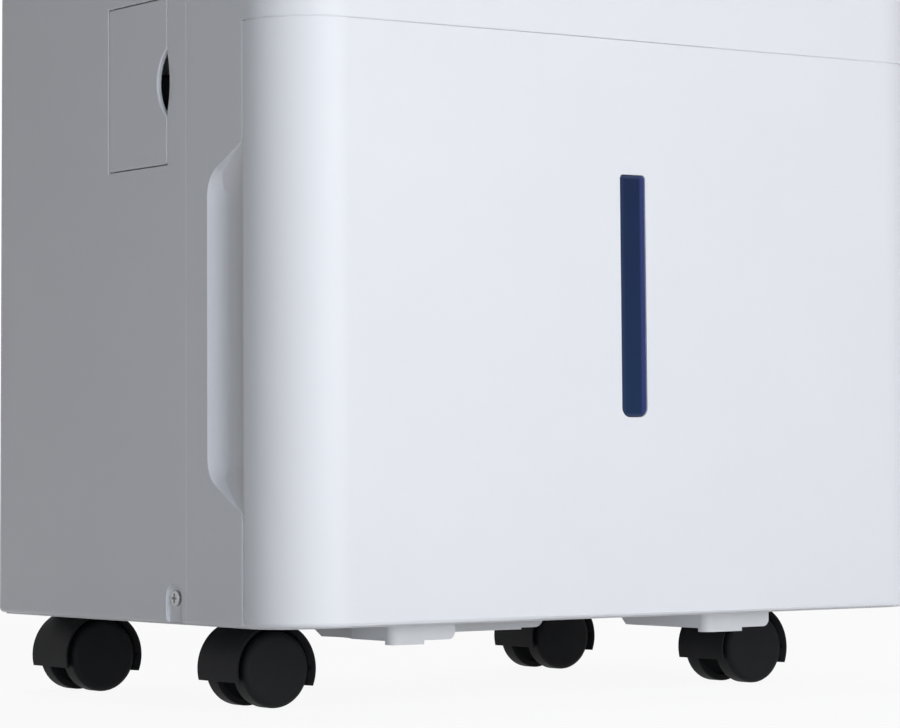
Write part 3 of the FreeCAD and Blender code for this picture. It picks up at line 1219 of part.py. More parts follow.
def make_compressor():
    shell = Sub("compressor", s.compressor_x, s.compressor_y)
    radius = s.compressor_radius
    dome = s.compressor_dome
    shell.turned("XZ", [(0, PLATE_TOP), (radius, PLATE_TOP, dome), (radius, s.compressor_high, dome),
                        (0, s.compressor_high)])
    hollow = rect(s.drum_core, radius - s.drum_wall, PLATE_TOP + s.drum_end, s.compressor_high - s.drum_end)
    shell.turned("XZ", hollow, "PartDesign::Groove")
    corners = [(x * (s.mount_circle + s.plate_round) / s.mount_circle,
                y * (s.mount_circle + s.plate_round) / s.mount_circle, s.plate_round)
               for x, y in mount_places()]
    shell.add("XY", corners, GROMMET_TOP, PLATE_TOP)
    for x, y in mount_places():
        shell.add_rod("Z", (x, y), s.grommet_radius, GROMMET_TOP, PLATE_TOP)
        shell.cut_rod("Z", (x, y), s.post_radius + s.fit_gap, GROMMET_TOP - OVER, PLATE_TOP + OVER * 2)
    shell.add_box((-s.terminal_half, s.terminal_half), (-radius - s.terminal_deep, -radius + s.terminal_deep),
                  (s.terminal_low, s.terminal_high))
    off = -s.accumulator_off
    sump = s.accumulator_radius
    shell.add_box((off, 0), (-s.strap_half, s.strap_half), (s.strap_up, s.strap_up + s.strap_high))
    shell.add_rod("Z", (off, 0), sump, s.accumulator_low, s.accumulator_high)
    shell.round_edges(s.accumulator_round, round_ends(off, sump))


def round_ends(x, radius):
    """The two circular rims of an upright drum whose axis is at x."""
    def wanted(edge):
        box = edge.BoundBox
        rim = box.ZLength < NEAR and same(box.XLength, 2 * radius)
        return rim and same((box.XMin + box.XMax) / 2, x)
    return wanted


def hexagon(x, y, radius):
    turns = [math.radians(degrees) for degrees in range(0, 360, 60)]
    return [(x + radius * round(math.cos(turn), 4), y + radius * round(math.sin(turn), 4)) for turn in turns]


def make_compressor_mounts():
    grommets = Sub("compressor_grommets", s.compressor_x, s.compressor_y)
    nuts = Sub("compressor_nuts", s.compressor_x, s.compressor_y)
    for x, y in mount_places():
        grommets.add_tube("Z", (x, y), s.grommet_radius, s.post_radius + s.fit_gap, PAN_TOP, GROMMET_TOP)
        nuts.add("XY", hexagon(x, y, s.nut_radius), PLATE_TOP, PLATE_TOP + s.nut_high)
        nuts.cut_rod("Z", (x, y), s.post_radius + s.run_gap, PLATE_TOP - OVER, PLATE_TOP + s.nut_high + OVER)


def make_fan():
    fan = Sub("fan_wheel", 0, 0, s.scroll_up)
    start = s.fan_start
    plate_end = start + s.fan_plate
    end = start + s.fan_depth
    fan.add_rod("Y", (0, 0), s.fan_radius, start, plate_end)
    fan.add_rod("Y", (0, 0), s.fan_hub, start, start + s.fan_hub_long)
    fan.add_rod("Y", (0, 0), s.fan_shaft, -s.shaft_start, start + s.fan_hub_long)
    rim = s.fan_radius - s.blade_thick / 2
    blade = fan.add_box((rim - s.blade_deep, rim), (plate_end - OVER, end - OVER),
                        (-s.blade_thick / 2, s.blade_thick / 2))
    fan.circle_of(blade, "Y", FAN_BLADES)
    fan.add_tube("Y", (0, 0), s.fan_radius, s.fan_radius - s.fan_ring, end - s.fan_ring, end)


def make_fan_motor():
    motor = Sub("fan_motor", 0, 0, s.scroll_up)
    back = s.scroll_front
    far_end = back - s.motor_length
    motor.add_rod("Y", (0, 0), s.motor_radius, far_end, back)
    motor.round_edges(s.motor_rib, end_rims(s.motor_radius))
    motor.add_rod("Y", (0, 0), s.motor_boss, far_end - s.motor_boss_long, far_end + OVER)
    motor.cut_rod("Y", (0, 0), s.fan_shaft + s.run_gap, -s.shaft_start - OVER, back + OVER)


def end_rims(radius):
    def wanted(edge):
        box = edge.BoundBox
        return box.YLength < NEAR and same(box.XLength, 2 * radius)
    return wanted


def make_scroll():
    scroll = Sub("fan_scroll")
    wall = s.scroll_wall
    half = s.scroll_half
    front = s.scroll_front
    rear = s.scroll_rear
    low = CEILING_TOP + s.tray_high
    scroll.add_box((-half, half), (front, rear), (low, CASING_TOP))
    scroll.cut_rod("Y", (0, s.scroll_up), s.scroll_radius, front + wall, rear - wall)
    scroll.cut_box((-s.scroll_radius, half - wall), (front + wall, rear - wall),
                   (s.scroll_up, CASING_TOP + OVER))
    scroll.cut_rod("Y", (0, s.scroll_up), s.inlet_radius, rear - wall - OVER, rear + OVER)
    scroll.cut_rod("Y", (0, s.scroll_up), s.shaft_hole, front - OVER, front + wall + OVER)


def make_electrics():
    box = Sub("board_box")
    half = s.box_half
    wall = s.box_wall
    low = CEILING_TOP
    high = low + s.box_high
    box.add_box((-half, half), (-s.box_front, -s.box_rear), (low, high))
    box.cut_box((-half + wall, half - wall), (-s.box_front + wall, -s.box_rear + OVER),
                (low + wall, high - wall))
    board_y = -s.box_front + wall + s.board_stand
    edge = wall + s.board_margin
    across = half - edge - s.standoff_inset
    spots = [(x, z) for x in (-across, across)
             for z in (low + edge + s.standoff_inset, high - edge - s.standoff_inset)]
    for spot in spots:
        box.add_rod("Y", spot, s.standoff_radius, -s.box_front + wall / 2, board_y)
    board = Sub("control_board")
    board_end = board_y + s.board_thick
    board.add_box((-half + edge, half - edge), (board_y, board_end), (low + edge, high - edge))
    step = s.relay_width * 2
    for number in range(RELAYS):
        x = -half / 2 + step * number
        board.add_box((x, x + s.relay_width), (board_end - OVER, board_end + s.relay_deep),
                      (low + s.coil_box, low + s.coil_box + s.relay_high))
    board.add_box((half / 2, half / 2 + s.coil_box), (board_end - OVER, board_end + s.relay_deep),
                  (low + s.coil_box - s.board_stand, low + s.coil_box * 2))
    can = Sub("capacitor", -s.capacitor_x, s.capacitor_y)
    can.add_rod("Z", (0, 0), s.capacitor_radius, PAN_TOP, PAN_TOP + s.capacitor_high)
    can.round_edges(s.tank_edge_round, level_at(PAN_TOP + s.capacitor_high))
    for x in (-s.capacitor_radius / 2, s.capacitor_radius / 2):
        can.add_rod("Z", (x, 0), s.terminal_radius, PAN_TOP + s.capacitor_high - OVER,
                    PAN_TOP + s.capacitor_high + s.terminal_high_cap)


def make_gland():
    gland = Sub("cord_gland", -s.gland_x, 0, s.gland_up)
    floor = REAR - s.gland_pocket_depth
    gland.add_rod("Y", (0, 0), s.gland_radius, floor - s.cup_wall, floor)
    gland.add_rod("Y", (0, 0), s.gland_flange, floor, floor + s.gland_flange_thick)
    gland.add_rod("Y", (0, 0), s.gland_radius - s.gland_flange_thick, floor + s.gland_flange_thick,
                  floor + s.gland_flange_thick + s.gland_tail - s.fit_gap)
    gland.cut_rod("Y", (0, 0), s.gland_bore, floor - s.cup_wall - OVER, REAR)


SHANK_RADIUS = s.screw_shank - s.run_gap / 2
CROSS_SLOTS = ((s.cross_width / 2, s.cross_reach), (s.cross_reach, s.cross_width / 2))


def make_screws():
    screws = Sub("casing_screws")
    side_seat = HALF - s.slot_depth
    for side in (-1, 1):
        spot = (-s.screw_side_y, s.screw_up)
        head = sorted_span(side, side_seat, side_seat + s.screw_head_high)
        screws.add_rod("X", spot, s.screw_head, *head)
        shank = sorted_span(side, side_seat - s.screw_length, side_seat)
        screws.add_rod("X", spot, SHANK_RADIUS, *shank)
        face = sorted_span(side, side_seat + s.screw_head_high - s.cross_depth, HALF)
        for across, along in CROSS_SLOTS:
            slot = rect(spot[0] - across, spot[0] + across, spot[1] - along, spot[1] + along)
            screws.cut("YZ", slot, *face)
    seat = REAR - s.slot_depth
    for x in (-s.screw_rear_x, s.screw_rear_x):
        for z in (s.screw_up, s.screw_rear_high):
            screws.add_rod("Y", (x, z), s.screw_head, seat, seat + s.screw_head_high)
            screws.add_rod("Y", (x, z), SHANK_RADIUS, seat - s.screw_length, seat)
            for across, along in CROSS_SLOTS:
                screws.cut("XZ", rect(x - across, x + across, z - along, z + along),
                           seat + s.screw_head_high - s.cross_depth, REAR)


parts = []
MAKERS = (make_base_pan, make_feet, make_casters, make_front_housing, make_rear_housing, make_top_cover,
          make_control_panel, make_buttons, make_louvre, make_outlet_grille, make_intake_grille, make_filter,
          make_drain_cover, make_drain_spout, make_tank_front, make_water_window, make_tank_bucket,
          make_tank_lid, make_tank_handle, make_float, make_tank_switch, make_tray, make_pipes,
          make_compressor, make_compressor_mounts, make_fan, make_fan_motor, make_scroll, make_electrics,
          make_gland, make_screws)
for make in MAKERS:
    make()
bars = make_coil("evaporator", s.evaporator_front, 1) + make_coil("condenser", s.condenser_front, -1)
fused("coil_tubes", bars)
doc.recompute()


def check_model():
    """Stop before anything is written if a feature failed, cut nothing or left no solid."""
    for item in doc.Objects:
        if {"Invalid", "Error"} & set(item.State):
            raise ValueError("failed: %s in %s" % (item.Name, item.Label))
        if item.isDerivedFrom("PartDesign::Pocket") and item.BaseFeature is not None:
            if item.BaseFeature.Shape.Volume - item.Shape.Volume < NEAR:
                raise ValueError("%s of %s cut nothing" % (item.Name, item.getParentGeoFeatureGroup().Label))
    for part in parts:
        if part.Shape.isNull() or not part.Shape.isValid():
            raise ValueError("bad shape: " + part.Label)


check_model()
os.makedirs("parts", exist_ok=True)
for part in parts:
    part.Shape.exportStep("parts/%s.step" % part.Label)
    print("%-34s %2d solids %10.1f mm3" % (part.Label, len(part.Shape.Solids), part.Shape.Volume))
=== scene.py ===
"""The looks of a compressor dehumidifier on casters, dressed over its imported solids.

Metres, +Z up, +X to the right seen from the front, front face towards -Y.
"""
import json
import math

import bmesh
import bpy
from mathutils import Matrix, Vector


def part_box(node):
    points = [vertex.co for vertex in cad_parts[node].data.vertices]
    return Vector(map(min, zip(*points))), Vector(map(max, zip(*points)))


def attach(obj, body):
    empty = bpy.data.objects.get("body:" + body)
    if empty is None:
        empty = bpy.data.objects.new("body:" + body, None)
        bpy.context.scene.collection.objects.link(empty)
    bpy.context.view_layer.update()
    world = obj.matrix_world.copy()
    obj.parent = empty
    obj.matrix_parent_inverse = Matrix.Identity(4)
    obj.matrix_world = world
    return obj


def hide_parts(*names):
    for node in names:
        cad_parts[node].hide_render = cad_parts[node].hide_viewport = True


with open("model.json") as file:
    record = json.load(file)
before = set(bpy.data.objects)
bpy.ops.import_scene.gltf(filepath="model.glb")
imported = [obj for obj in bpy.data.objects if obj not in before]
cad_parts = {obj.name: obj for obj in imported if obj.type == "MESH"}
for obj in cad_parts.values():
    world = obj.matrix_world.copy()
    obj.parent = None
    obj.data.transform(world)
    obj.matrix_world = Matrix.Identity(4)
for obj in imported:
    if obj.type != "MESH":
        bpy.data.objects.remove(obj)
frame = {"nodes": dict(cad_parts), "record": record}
NODES = frame["nodes"]
BODY_OF = {node: body for body, members in frame["record"]["behaviour"]["bodies"].items() for node in members}
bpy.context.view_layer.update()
MM = 0.001


# ---------------------------------------------------------------- finishes

class Signal:
    """A shader output that can be used in arithmetic; each sum adds its own Math node."""

    def __init__(self, finish, socket):
        self.finish = finish
        self.socket = socket

    def __add__(self, other):
        return self.finish.math("ADD", self, other)

    __radd__ = __add__

    def __sub__(self, other):
        return self.finish.math("SUBTRACT", self, other)

    def __mul__(self, other):
        return self.finish.math("MULTIPLY", self, other)

    __rmul__ = __mul__

    def __truediv__(self, other):
        return self.finish.math("DIVIDE", self, other)

    def __gt__(self, other):
        return self.finish.math("GREATER_THAN", self, other)


class Finish:
    """A material: one Principled shader and the nodes that vary it over the surface."""

    def __init__(self, name, **constants):
        self.material = bpy.data.materials.new(name)
        self.material.use_nodes = True
        self.tree = self.material.node_tree
        self.shader = self.tree.nodes["Principled BSDF"]
        for socket, value in constants.items():
            self.shader.inputs[socket.replace("_", " ")].default_value = value
        self.place = self.node("ShaderNodeTexCoord", out="Object")
        self.heights = []

    def node(self, kind, out=0, settings=(), **inputs):
        """Any node: its settings first, then its inputs by name or as n0, n1 for their number."""
        made = self.tree.nodes.new(kind)
        for key, value in dict(settings).items():
            setattr(made, key, value)
        for key, value in inputs.items():
            number = key[1:]
            target = made.inputs[int(number) if number.isdigit() else key.replace("_", " ")]
            self.feed(target, value)
        return Signal(self, made.outputs[out])

    def feed(self, target, value):
        if isinstance(value, Signal):
            self.tree.links.new(value.socket, target)
        else:
            target.default_value = value

    def math(self, operation, first, second=0.0):
        return self.node("ShaderNodeMath", settings={"operation": operation}, n0=first, n1=second)

    def blend(self, factor, first, second):
        """One colour over another by a factor."""
        return self.node("ShaderNodeMix", out=2, settings={"data_type": "RGBA"}, n0=factor,
                         n6=colour(first), n7=colour(second))

    def scaled(self, x, y, z):
        return self.node("ShaderNodeMapping", Vector=self.place, Scale=(x, y, z))

    def noise(self, size, detail=2.0, rough=0.5):
        """Smooth unevenness whose lumps are about this many metres across."""
        return self.node("ShaderNodeTexNoise", Vector=self.place, Scale=1 / size, Detail=detail,
                         Roughness=rough)

    def axis(self, letter):
        return self.node("ShaderNodeSeparateXYZ", out=letter, Vector=self.place)

    def ramp(self, value, low, high, bottom=0.0, top=1.0):
        """Value from low to high, moved to the range from bottom to top and held there."""
        return self.node("ShaderNodeMapRange", n0=value, n1=low, n2=high, n3=bottom, n4=top)

    def base(self, value):
        self.feed(self.shader.inputs["Base Color"], colour(value))

    def rough(self, value):
        self.feed(self.shader.inputs["Roughness"], value)

    def relief(self, height, depth):
        """A bump whose full range is this many metres deep; reliefs add up."""
        self.heights.append(height * depth)
        total = self.heights[0]
        for extra in self.heights[1:]:
            total = total + extra
        if not hasattr(self, "bumper"):
            self.bumper = self.tree.nodes.new("ShaderNodeBump")
            self.bumper.inputs["Strength"].default_value = 1
            self.bumper.inputs["Distance"].default_value = 1
            self.tree.links.new(self.bumper.outputs[0], self.shader.inputs["Normal"])
        self.feed(self.bumper.inputs["Height"], total)


def colour(value):
    return (*value, 1) if isinstance(value, tuple) and len(value) == 3 else value


def moulded(name, tone, roughness, grain=0.55 * MM, depth=0.012 * MM, drift=0.02, **constants):
    """Moulded plastic: a fine spark-eroded grain, slow drift of tone and uneven gloss."""
    made = Finish(name, **constants)
    cloud = made.noise(70 * MM, 3)
    fine = made.noise(grain, 2, 0.6)
    dark = tuple(c * (1 - drift) for c in tone)
    light = tuple(min(1, c * (1 + drift)) for c in tone)
    speck = made.ramp(cloud * 0.75 + fine * 0.25, 0.3, 0.7)
    made.base(made.blend(speck, dark, light))
    made.rough(roughness - 0.04 + 0.08 * made.noise(25 * MM, 2) + 0.05 * fine)
    made.relief(fine, depth)
    return made


def machined(name, tone, roughness, along="X", depth=0.01 * MM, metallic=1.0):
    """Drawn or turned metal with fine lines along one axis and a few dull patches."""
    made = Finish(name, Metallic=metallic)
    stretch = {"X": (20, 900, 900), "Y": (900, 20, 900), "Z": (900, 900, 20)}[along]
    lines = made.node("ShaderNodeTexNoise", Vector=made.scaled(*stretch), Scale=1.0, Detail=3.0)
    patch = made.noise(18 * MM, 3, 0.6)
    made.base(made.blend(made.ramp(patch, 0.35, 0.7), tuple(c * 0.82 for c in tone), tone))
    made.rough(roughness - 0.06 + 0.12 * lines + 0.08 * patch)
    made.relief(lines, depth)
    return made


WINDOW_GLOSS = 0.1
WINDOW_FLANGE = 4 * MM


def make_window():
    """Dark blue see-in strip, lighter where its thickness catches the light at the edges."""
    made = Finish("window", Specular_IOR_Level=WINDOW_GLOSS)
    low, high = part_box("water_window")
    flange = Vector((WINDOW_FLANGE, 0, WINDOW_FLANGE))
    low, high = low + flange, high - flange
    across, upwards = made.axis("X"), made.axis("Z")
    left = made.ramp(across, low.x + 3.0 * MM, low.x + 0.3 * MM)
    right = made.ramp(across, high.x - 3.2 * MM, high.x - 2.2 * MM)
    ends = made.ramp(made.math("ABSOLUTE", upwards - (low.z + high.z) / 2), (high.z - low.z) / 2 - 2.0 * MM,
                     (high.z - low.z) / 2 - 0.6 * MM)
    cloud = made.noise(12 * MM, 2)
    # The blue is lighter towards the bottom of the strip, with a faint cloud over it.
    depth = made.ramp(upwards, high.z, low.z) * 0.8 + cloud * 0.2
    deep = made.blend(depth, (0.0085, 0.0190, 0.062), (0.0105, 0.0290, 0.082))
    sided = made.blend(made.math("MAXIMUM", left * 0.6, ends), deep, (0.040, 0.058, 0.115))
    made.base(made.blend(right * 0.85, sided, (0.038, 0.052, 0.175)))
    made.rough(0.14 + 0.05 * made.noise(4 * MM, 2))
    made.relief(made.noise(3 * MM, 1), 0.004 * MM)
    return made


def make_mesh():
    """A woven screen: round threads both ways with square holes between."""
    made = Finish("filter_mesh", Roughness=0.6)
    pitch = 1.1 * MM
    thread = 0.30
    masks = []
    for letter in "XZ":
        turn = made.math("FRACT", made.axis(letter) / pitch)
        masks.append(made.math("ABSOLUTE", turn - 0.5))
    nearest = made.math("MAXIMUM", masks[0], masks[1])
    woven = nearest > (0.5 - thread)
    made.feed(made.shader.inputs["Alpha"], woven)
    made.base(made.blend(made.noise(20 * MM, 2), (0.035, 0.036, 0.04), (0.06, 0.062, 0.068)))
    made.relief(nearest, 0.25 * MM)
    return made


def make_foam():
    made = Finish("float_foam", Roughness=0.85)
    cells = made.node("ShaderNodeTexVoronoi", Vector=made.place, Scale=1 / (2.6 * MM))
    # Darker down in the hollows of the cells: painted shade.
    made.base(made.blend(made.ramp(cells, 0.0, 0.6), (0.62, 0.62, 0.6), (0.86, 0.86, 0.84)))
    made.relief(cells, 0.35 * MM)
    return made


def make_board():
    made = Finish("board", Roughness=0.35)
    weave = made.node("ShaderNodeTexWave", Vector=made.scaled(900, 900, 900), Scale=1.0, Distortion=6.0)
    made.base(made.blend(made.ramp(weave, 0.35, 0.65), (0.012, 0.075, 0.030), (0.02, 0.12, 0.05)))
    made.relief(weave, 0.02 * MM)
    return made


def make_glass_black():
    made = Finish("display", Specular_IOR_Level=0.6)
    made.base(made.blend(made.noise(9 * MM, 2), (0.006, 0.006, 0.008), (0.010, 0.010, 0.013)))
    made.rough(0.06 + 0.05 * made.noise(6 * MM, 2))
    return made


def make_rubber():
    made = Finish("rubber", Specular_IOR_Level=0.3)
    bloom = made.noise(6 * MM, 4, 0.65)
    made.base(made.blend(bloom, (0.018, 0.018, 0.019), (0.040, 0.040, 0.042)))
    made.rough(0.62 + 0.18 * bloom)
    made.relief(made.noise(0.5 * MM, 2), 0.02 * MM)
    return made


FINISHES = {
    "shell_white": moulded("shell_white", (0.81, 0.81, 0.835), 0.40, drift=0.008, Specular_IOR_Level=0.3),
    "panel_gloss": moulded("panel_gloss", (0.012, 0.012, 0.014), 0.30, depth=0.002 * MM, drift=0.1,
                           Coat_Weight=0.2, Coat_Roughness=0.18),
    "display": make_glass_black(),
    "button_plastic": moulded("button_plastic", (0.70, 0.71, 0.73), 0.28, depth=0.004 * MM),
    "dark_plastic": moulded("dark_plastic", (0.035, 0.036, 0.040), 0.5, drift=0.1),
    "pan_plastic": moulded("pan_plastic", (0.84, 0.845, 0.86), 0.5, drift=0.02),
    "filter_plastic": moulded("filter_plastic", (0.62, 0.63, 0.65), 0.48, drift=0.03),
    "filter_mesh": make_mesh(),
    "bucket_plastic": moulded("bucket_plastic", (0.55, 0.60, 0.66), 0.35, depth=0.008 * MM, drift=0.03),
    "window": make_window(),
    "float_foam": make_foam(),
    "lever_plastic": moulded("lever_plastic", (0.55, 0.10, 0.03), 0.4, drift=0.05),
    "caster_plastic": moulded("caster_plastic", (0.0115, 0.0118, 0.0132), 0.58, grain=0.35 * MM,
                              depth=0.006 * MM, drift=0.15, Specular_IOR_Level=0.10),
    "axle_steel": machined("axle_steel", (0.50, 0.51, 0.53), 0.3, along="Y"),
    "screw_steel": machined("screw_steel", (0.42, 0.43, 0.44), 0.42, along="Y"),
    "rubber": make_rubber(),
    "spout_plastic": moulded("spout_plastic", (0.33, 0.34, 0.36), 0.45, drift=0.05),
    "compressor_paint": moulded("compressor_paint", (0.014, 0.014, 0.015), 0.3, grain=1.6 * MM,
                                depth=0.05 * MM, drift=0.1),
    "copper": machined("copper", (0.72, 0.33, 0.19), 0.26, along="Z"),
    "fins": machined("fins", (0.74, 0.76, 0.78), 0.34, along="Z"),
    "motor_metal": machined("motor_metal", (0.55, 0.56, 0.58), 0.38, along="Y"),
    "board": make_board(),
}


# ---------------------------------------------------------------- dressing the solids

SLOT_OF = {part["node"]: part["material_slot"] for part in frame["record"]["subparts"]}


SHARP = math.radians(35)


def as_piece(name, bm, finish, body, *nodes, edge=0.0, clamp=True):
    """Turn a finished bmesh into a shown piece that rides on a body and stands for some solids."""
    mesh = bpy.data.meshes.new(name)
    bm.to_mesh(mesh)
    bm.free()
    for face in mesh.polygons:
        face.use_smooth = True
    piece = bpy.data.objects.new(name, mesh)
    bpy.context.collection.objects.link(piece)
    mesh.materials.append(FINISHES[finish].material)
    if edge:
        rim = piece.modifiers.new("edge", "BEVEL")
        rim.width = edge
        rim.segments = 2
        rim.limit_method = "ANGLE"
        rim.angle_limit = SHARP
        rim.use_clamp_overlap = clamp
    mesh.set_sharp_from_angle(angle=SHARP)
    even = piece.modifiers.new("even", "WEIGHTED_NORMAL")
    even.keep_sharp = True
    even.weight = 100
    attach(piece, body)
    if nodes:
        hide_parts(*nodes)


def solid_copy(node):
    """A node's surface as whole faces in place of loose triangles."""
    bm = bmesh.new()
    bm.from_mesh(NODES[node].data)
    bmesh.ops.remove_doubles(bm, verts=bm.verts, dist=0.004 * MM)
    bmesh.ops.dissolve_degenerate(bm, edges=bm.edges, dist=0.002 * MM)
    bmesh.ops.dissolve_limit(bm, angle_limit=math.radians(0.6), verts=bm.verts, edges=bm.edges,
                             use_dissolve_boundaries=False)
    return bm


def dress(node, edge, clamp=True):
    """Show a solid with eased edges and its own finish."""
    as_piece(node + "_skin", solid_copy(node), SLOT_OF[node], BODY_OF[node], node, edge=edge, clamp=clamp)


# Width of the eased edges, in millimetres.
EASED = {
    "front_housing": 0.35, "rear_housing": 0.45, "top_cover": 0.4, "tank_front": 0.5, "drain_cover": 0.6,
    "base_pan": 0.5, "outlet_louvre": 0.3, "control_panel": 0.2, "display_lens": 0.2, "water_window": 0.35,
    "intake_grille": 0.4, "outlet_grille": 0.5, "filter_frame": 0.4, "tank_bucket": 0.4, "tank_lid": 0.4,
    "cord_gland": 0.3,
}
HOOD_EDGE = 0.5
# Their edges keep the full width where short neighbouring edges would narrow it.
LOOSE_EDGES = ("rear_housing", "drain_cover")
for node in sorted(NODES):
    if node in EASED:
        dress(node, EASED[node] * MM, clamp=node not in LOOSE_EDGES)
    elif node.startswith("caster_") and node.endswith("hood"):
        dress(node, HOOD_EDGE * MM)
    else:
        skin = NODES[node]
        skin.data.materials.clear()
        skin.data.materials.append(FINISHES[SLOT_OF[node]].material)


AXES = {"X": (Vector((1, 0, 0)), Vector((0, 1, 0))), "Y": (Vector((0, 1, 0)), Vector((1, 0, 0))),
        "Z": (Vector((0, 0, 1)), Vector((1, 0, 0)))}


def turned(bm, profile, centre, axis, steps=48):
    """Add a turned shape; its profile is (distance from the axis, place along the axis)."""
    along, outwards = AXES[axis]
    foot = Vector(centre) - along * Vector(centre).dot(along)
    points = [bm.verts.new(foot + outwards * radius + along * place) for radius, place in profile]
    edges = [bm.edges.new(pair) for pair in zip(points, points[1:])]
    bmesh.ops.spin(bm, geom=points + edges, cent=foot, axis=along, angle=math.tau, steps=steps,
                   use_merge=True)
    bmesh.ops.remove_doubles(bm, verts=bm.verts, dist=0.002 * MM)
    bmesh.ops.recalc_face_normals(bm, faces=bm.faces)


def verts_of(items):
    """The corner points among the results of a bmesh step."""
    return [item for item in items if isinstance(item, bmesh.types.BMVert)]


def slab(bm, x, y, z):
    """Add a box between two places on each axis."""
    size = Vector((x[1] - x[0], y[1] - y[0], z[1] - z[0]))
    middle = Vector((x[0] + x[1], y[0] + y[1], z[0] + z[1])) / 2
    bmesh.ops.create_cube(bm, size=1, matrix=Matrix.Translation(middle) @ Matrix.Diagonal(size).to_4x4())


def arc(centre, radius, start, end, count=6):
    """Points along an arc, from one angle in degrees to another."""
    turns = [math.radians(start + (end - start) * step / count) for step in range(count + 1)]
    return [(centre[0] + radius * math.cos(turn), centre[1] + radius * math.sin(turn)) for turn in turns]


def make_wheel(node):
    """A hard wheel: rounded shoulder, slightly domed outer face, and a hollow with a hub inside."""
    low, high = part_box(node)
    centre = (low + high) / 2
    radius = (high.x - low.x) / 2
    outwards = -1 if node.endswith("near") else 1
    face = low.y if outwards < 0 else high.y
    shoulder = 3.2 * MM
    seam = 0.7 * MM
    shape = [(0, 0), (radius - 9 * MM, 0.15 * MM), (radius - 8 * MM, 0.3 * MM)]
    shape += arc((radius - shoulder, shoulder + 0.3 * MM), shoulder, -90, 0)
    width = high.y - low.y
    shape += arc((radius - seam, width - seam), seam, 0, 90, 3)
    shape += [(radius - 3 * MM, width), (radius - 3.4 * MM, width - 3 * MM), (5.5 * MM, width - 3 * MM),
              (5 * MM, width), (3.1 * MM, width), (3.1 * MM, 2.35 * MM), (0, 2.35 * MM)]
    bm = bmesh.new()
    turned(bm, [(r, face - outwards * deep) for r, deep in shape], centre, "Y", steps=64)
    as_piece(node + "_skin", bm, "caster_plastic", BODY_OF[node], node)


def make_button(node):
    """A round key: rounded rim, dished top, and the flange that holds it under the cover."""
    low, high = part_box(node)
    flange = (high.x - low.x) / 2
    key = flange - 1.4 * MM
    rim = 0.7 * MM
    top = high.z
    shape = [(0, top - 0.5 * MM), (key * 0.35, top - 0.44 * MM), (key * 0.65, top - 0.22 * MM)]
    shape += arc((key - rim, top - rim), rim, 90, 0, 4)
    shape += [(key, top - 3.25 * MM), (flange, top - 3.25 * MM), (flange, top - 4.45 * MM),
              (key, top - 4.45 * MM), (key, low.z), (0, low.z)]
    bm = bmesh.new()
    turned(bm, shape, (low + high) / 2, "Z")
    as_piece(node + "_skin", bm, "button_plastic", BODY_OF[node], node)


def make_indicator(button):
    """A small round light in front of a key."""
    low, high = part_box(button)
    ahead_of_key = 14 * MM
    radius, sunk = 0.95 * MM, 0.8 * MM
    centre = (low + high) / 2 - Vector((0, ahead_of_key, 0))
    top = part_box("control_panel")[1].z
    shape = [(0, top + 0.2 * MM), (0.6 * MM, top + 0.15 * MM), (radius, top), (radius, top - sunk),
             (0, top - sunk)]
    bm = bmesh.new()
    turned(bm, shape, centre, "Z", steps=20)
    as_piece(button + "_light", bm, "button_plastic", BODY_OF["control_panel"])


def make_fin_pack(node):
    """Many thin upright fins between two end plates."""
    low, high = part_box(node)
    bm = bmesh.new()
    plate = 1.2 * MM
    fin = 0.22 * MM
    pitch = 2.1 * MM
    inset = 0.5 * MM
    for x in (low.x, high.x - plate):
        slab(bm, (x, x + plate), (low.y, high.y), (low.z, high.z))
    count = round((high.x - low.x) / pitch)
    for number in range(1, count):
        x = low.x + (high.x - low.x) * number / count
        slab(bm, (x, x + fin), (low.y + inset, high.y - inset), (low.z, high.z))
    as_piece(node + "_skin", bm, "fins", BODY_OF[node], node)


def islands(bm):
    """The boxes of a mesh's separate lumps."""
    left = set(bm.verts)
    boxes = []
    while left:
        todo = [left.pop()]
        lump = []
        while todo:
            vert = todo.pop()
            lump.append(vert.co.copy())
            for edge in vert.link_edges:
                other = edge.other_vert(vert)
                if other in left:
                    left.remove(other)
                    todo.append(other)
        boxes.append((Vector(map(min, zip(*lump))), Vector(map(max, zip(*lump)))))
    return boxes


def screw_mesh(head, tall, shank, length):
    """A pan-head screw that points to -Z, the top of its head at the origin, with a cross recess."""
    bm = bmesh.new()
    flat = head * 0.78
    turned(bm, [(flat, 0)] + arc((flat, -(head - flat)), head - flat, 90, 0, 4)[1:]
           + [(head, -tall), (shank, -tall), (shank, -length), (0, -length)], (0, 0, 0), "Z", steps=32)
    rim = [edge for edge in bm.edges if edge.is_boundary]
    wide, reach, recess = 0.55 * MM, 2.25 * MM, 1.3 * MM
    corners = [(wide, wide), (wide, reach), (-wide, reach), (-wide, wide), (-reach, wide), (-reach, -wide),
               (-wide, -wide), (-wide, -reach), (wide, -reach), (wide, -wide), (reach, -wide), (reach, wide)]
    ring = [bm.verts.new((x, y, 0)) for x, y in corners]
    cross = [bm.edges.new((ring[i - 1], ring[i])) for i in range(len(ring))]
    bmesh.ops.triangle_fill(bm, edges=rim + cross, use_beauty=True)
    sunk = bmesh.ops.extrude_edge_only(bm, edges=cross)["geom"]
    low = verts_of(sunk)
    for vert in low:
        vert.co.z = -recess
    bmesh.ops.contextual_create(bm, geom=[item for item in sunk if isinstance(item, bmesh.types.BMEdge)
                                          and all(vert in low for vert in item.verts)])
    bmesh.ops.recalc_face_normals(bm, faces=bm.faces)
    mesh = bpy.data.meshes.new("screw")
    bm.to_mesh(mesh)
    bm.free()
    return mesh


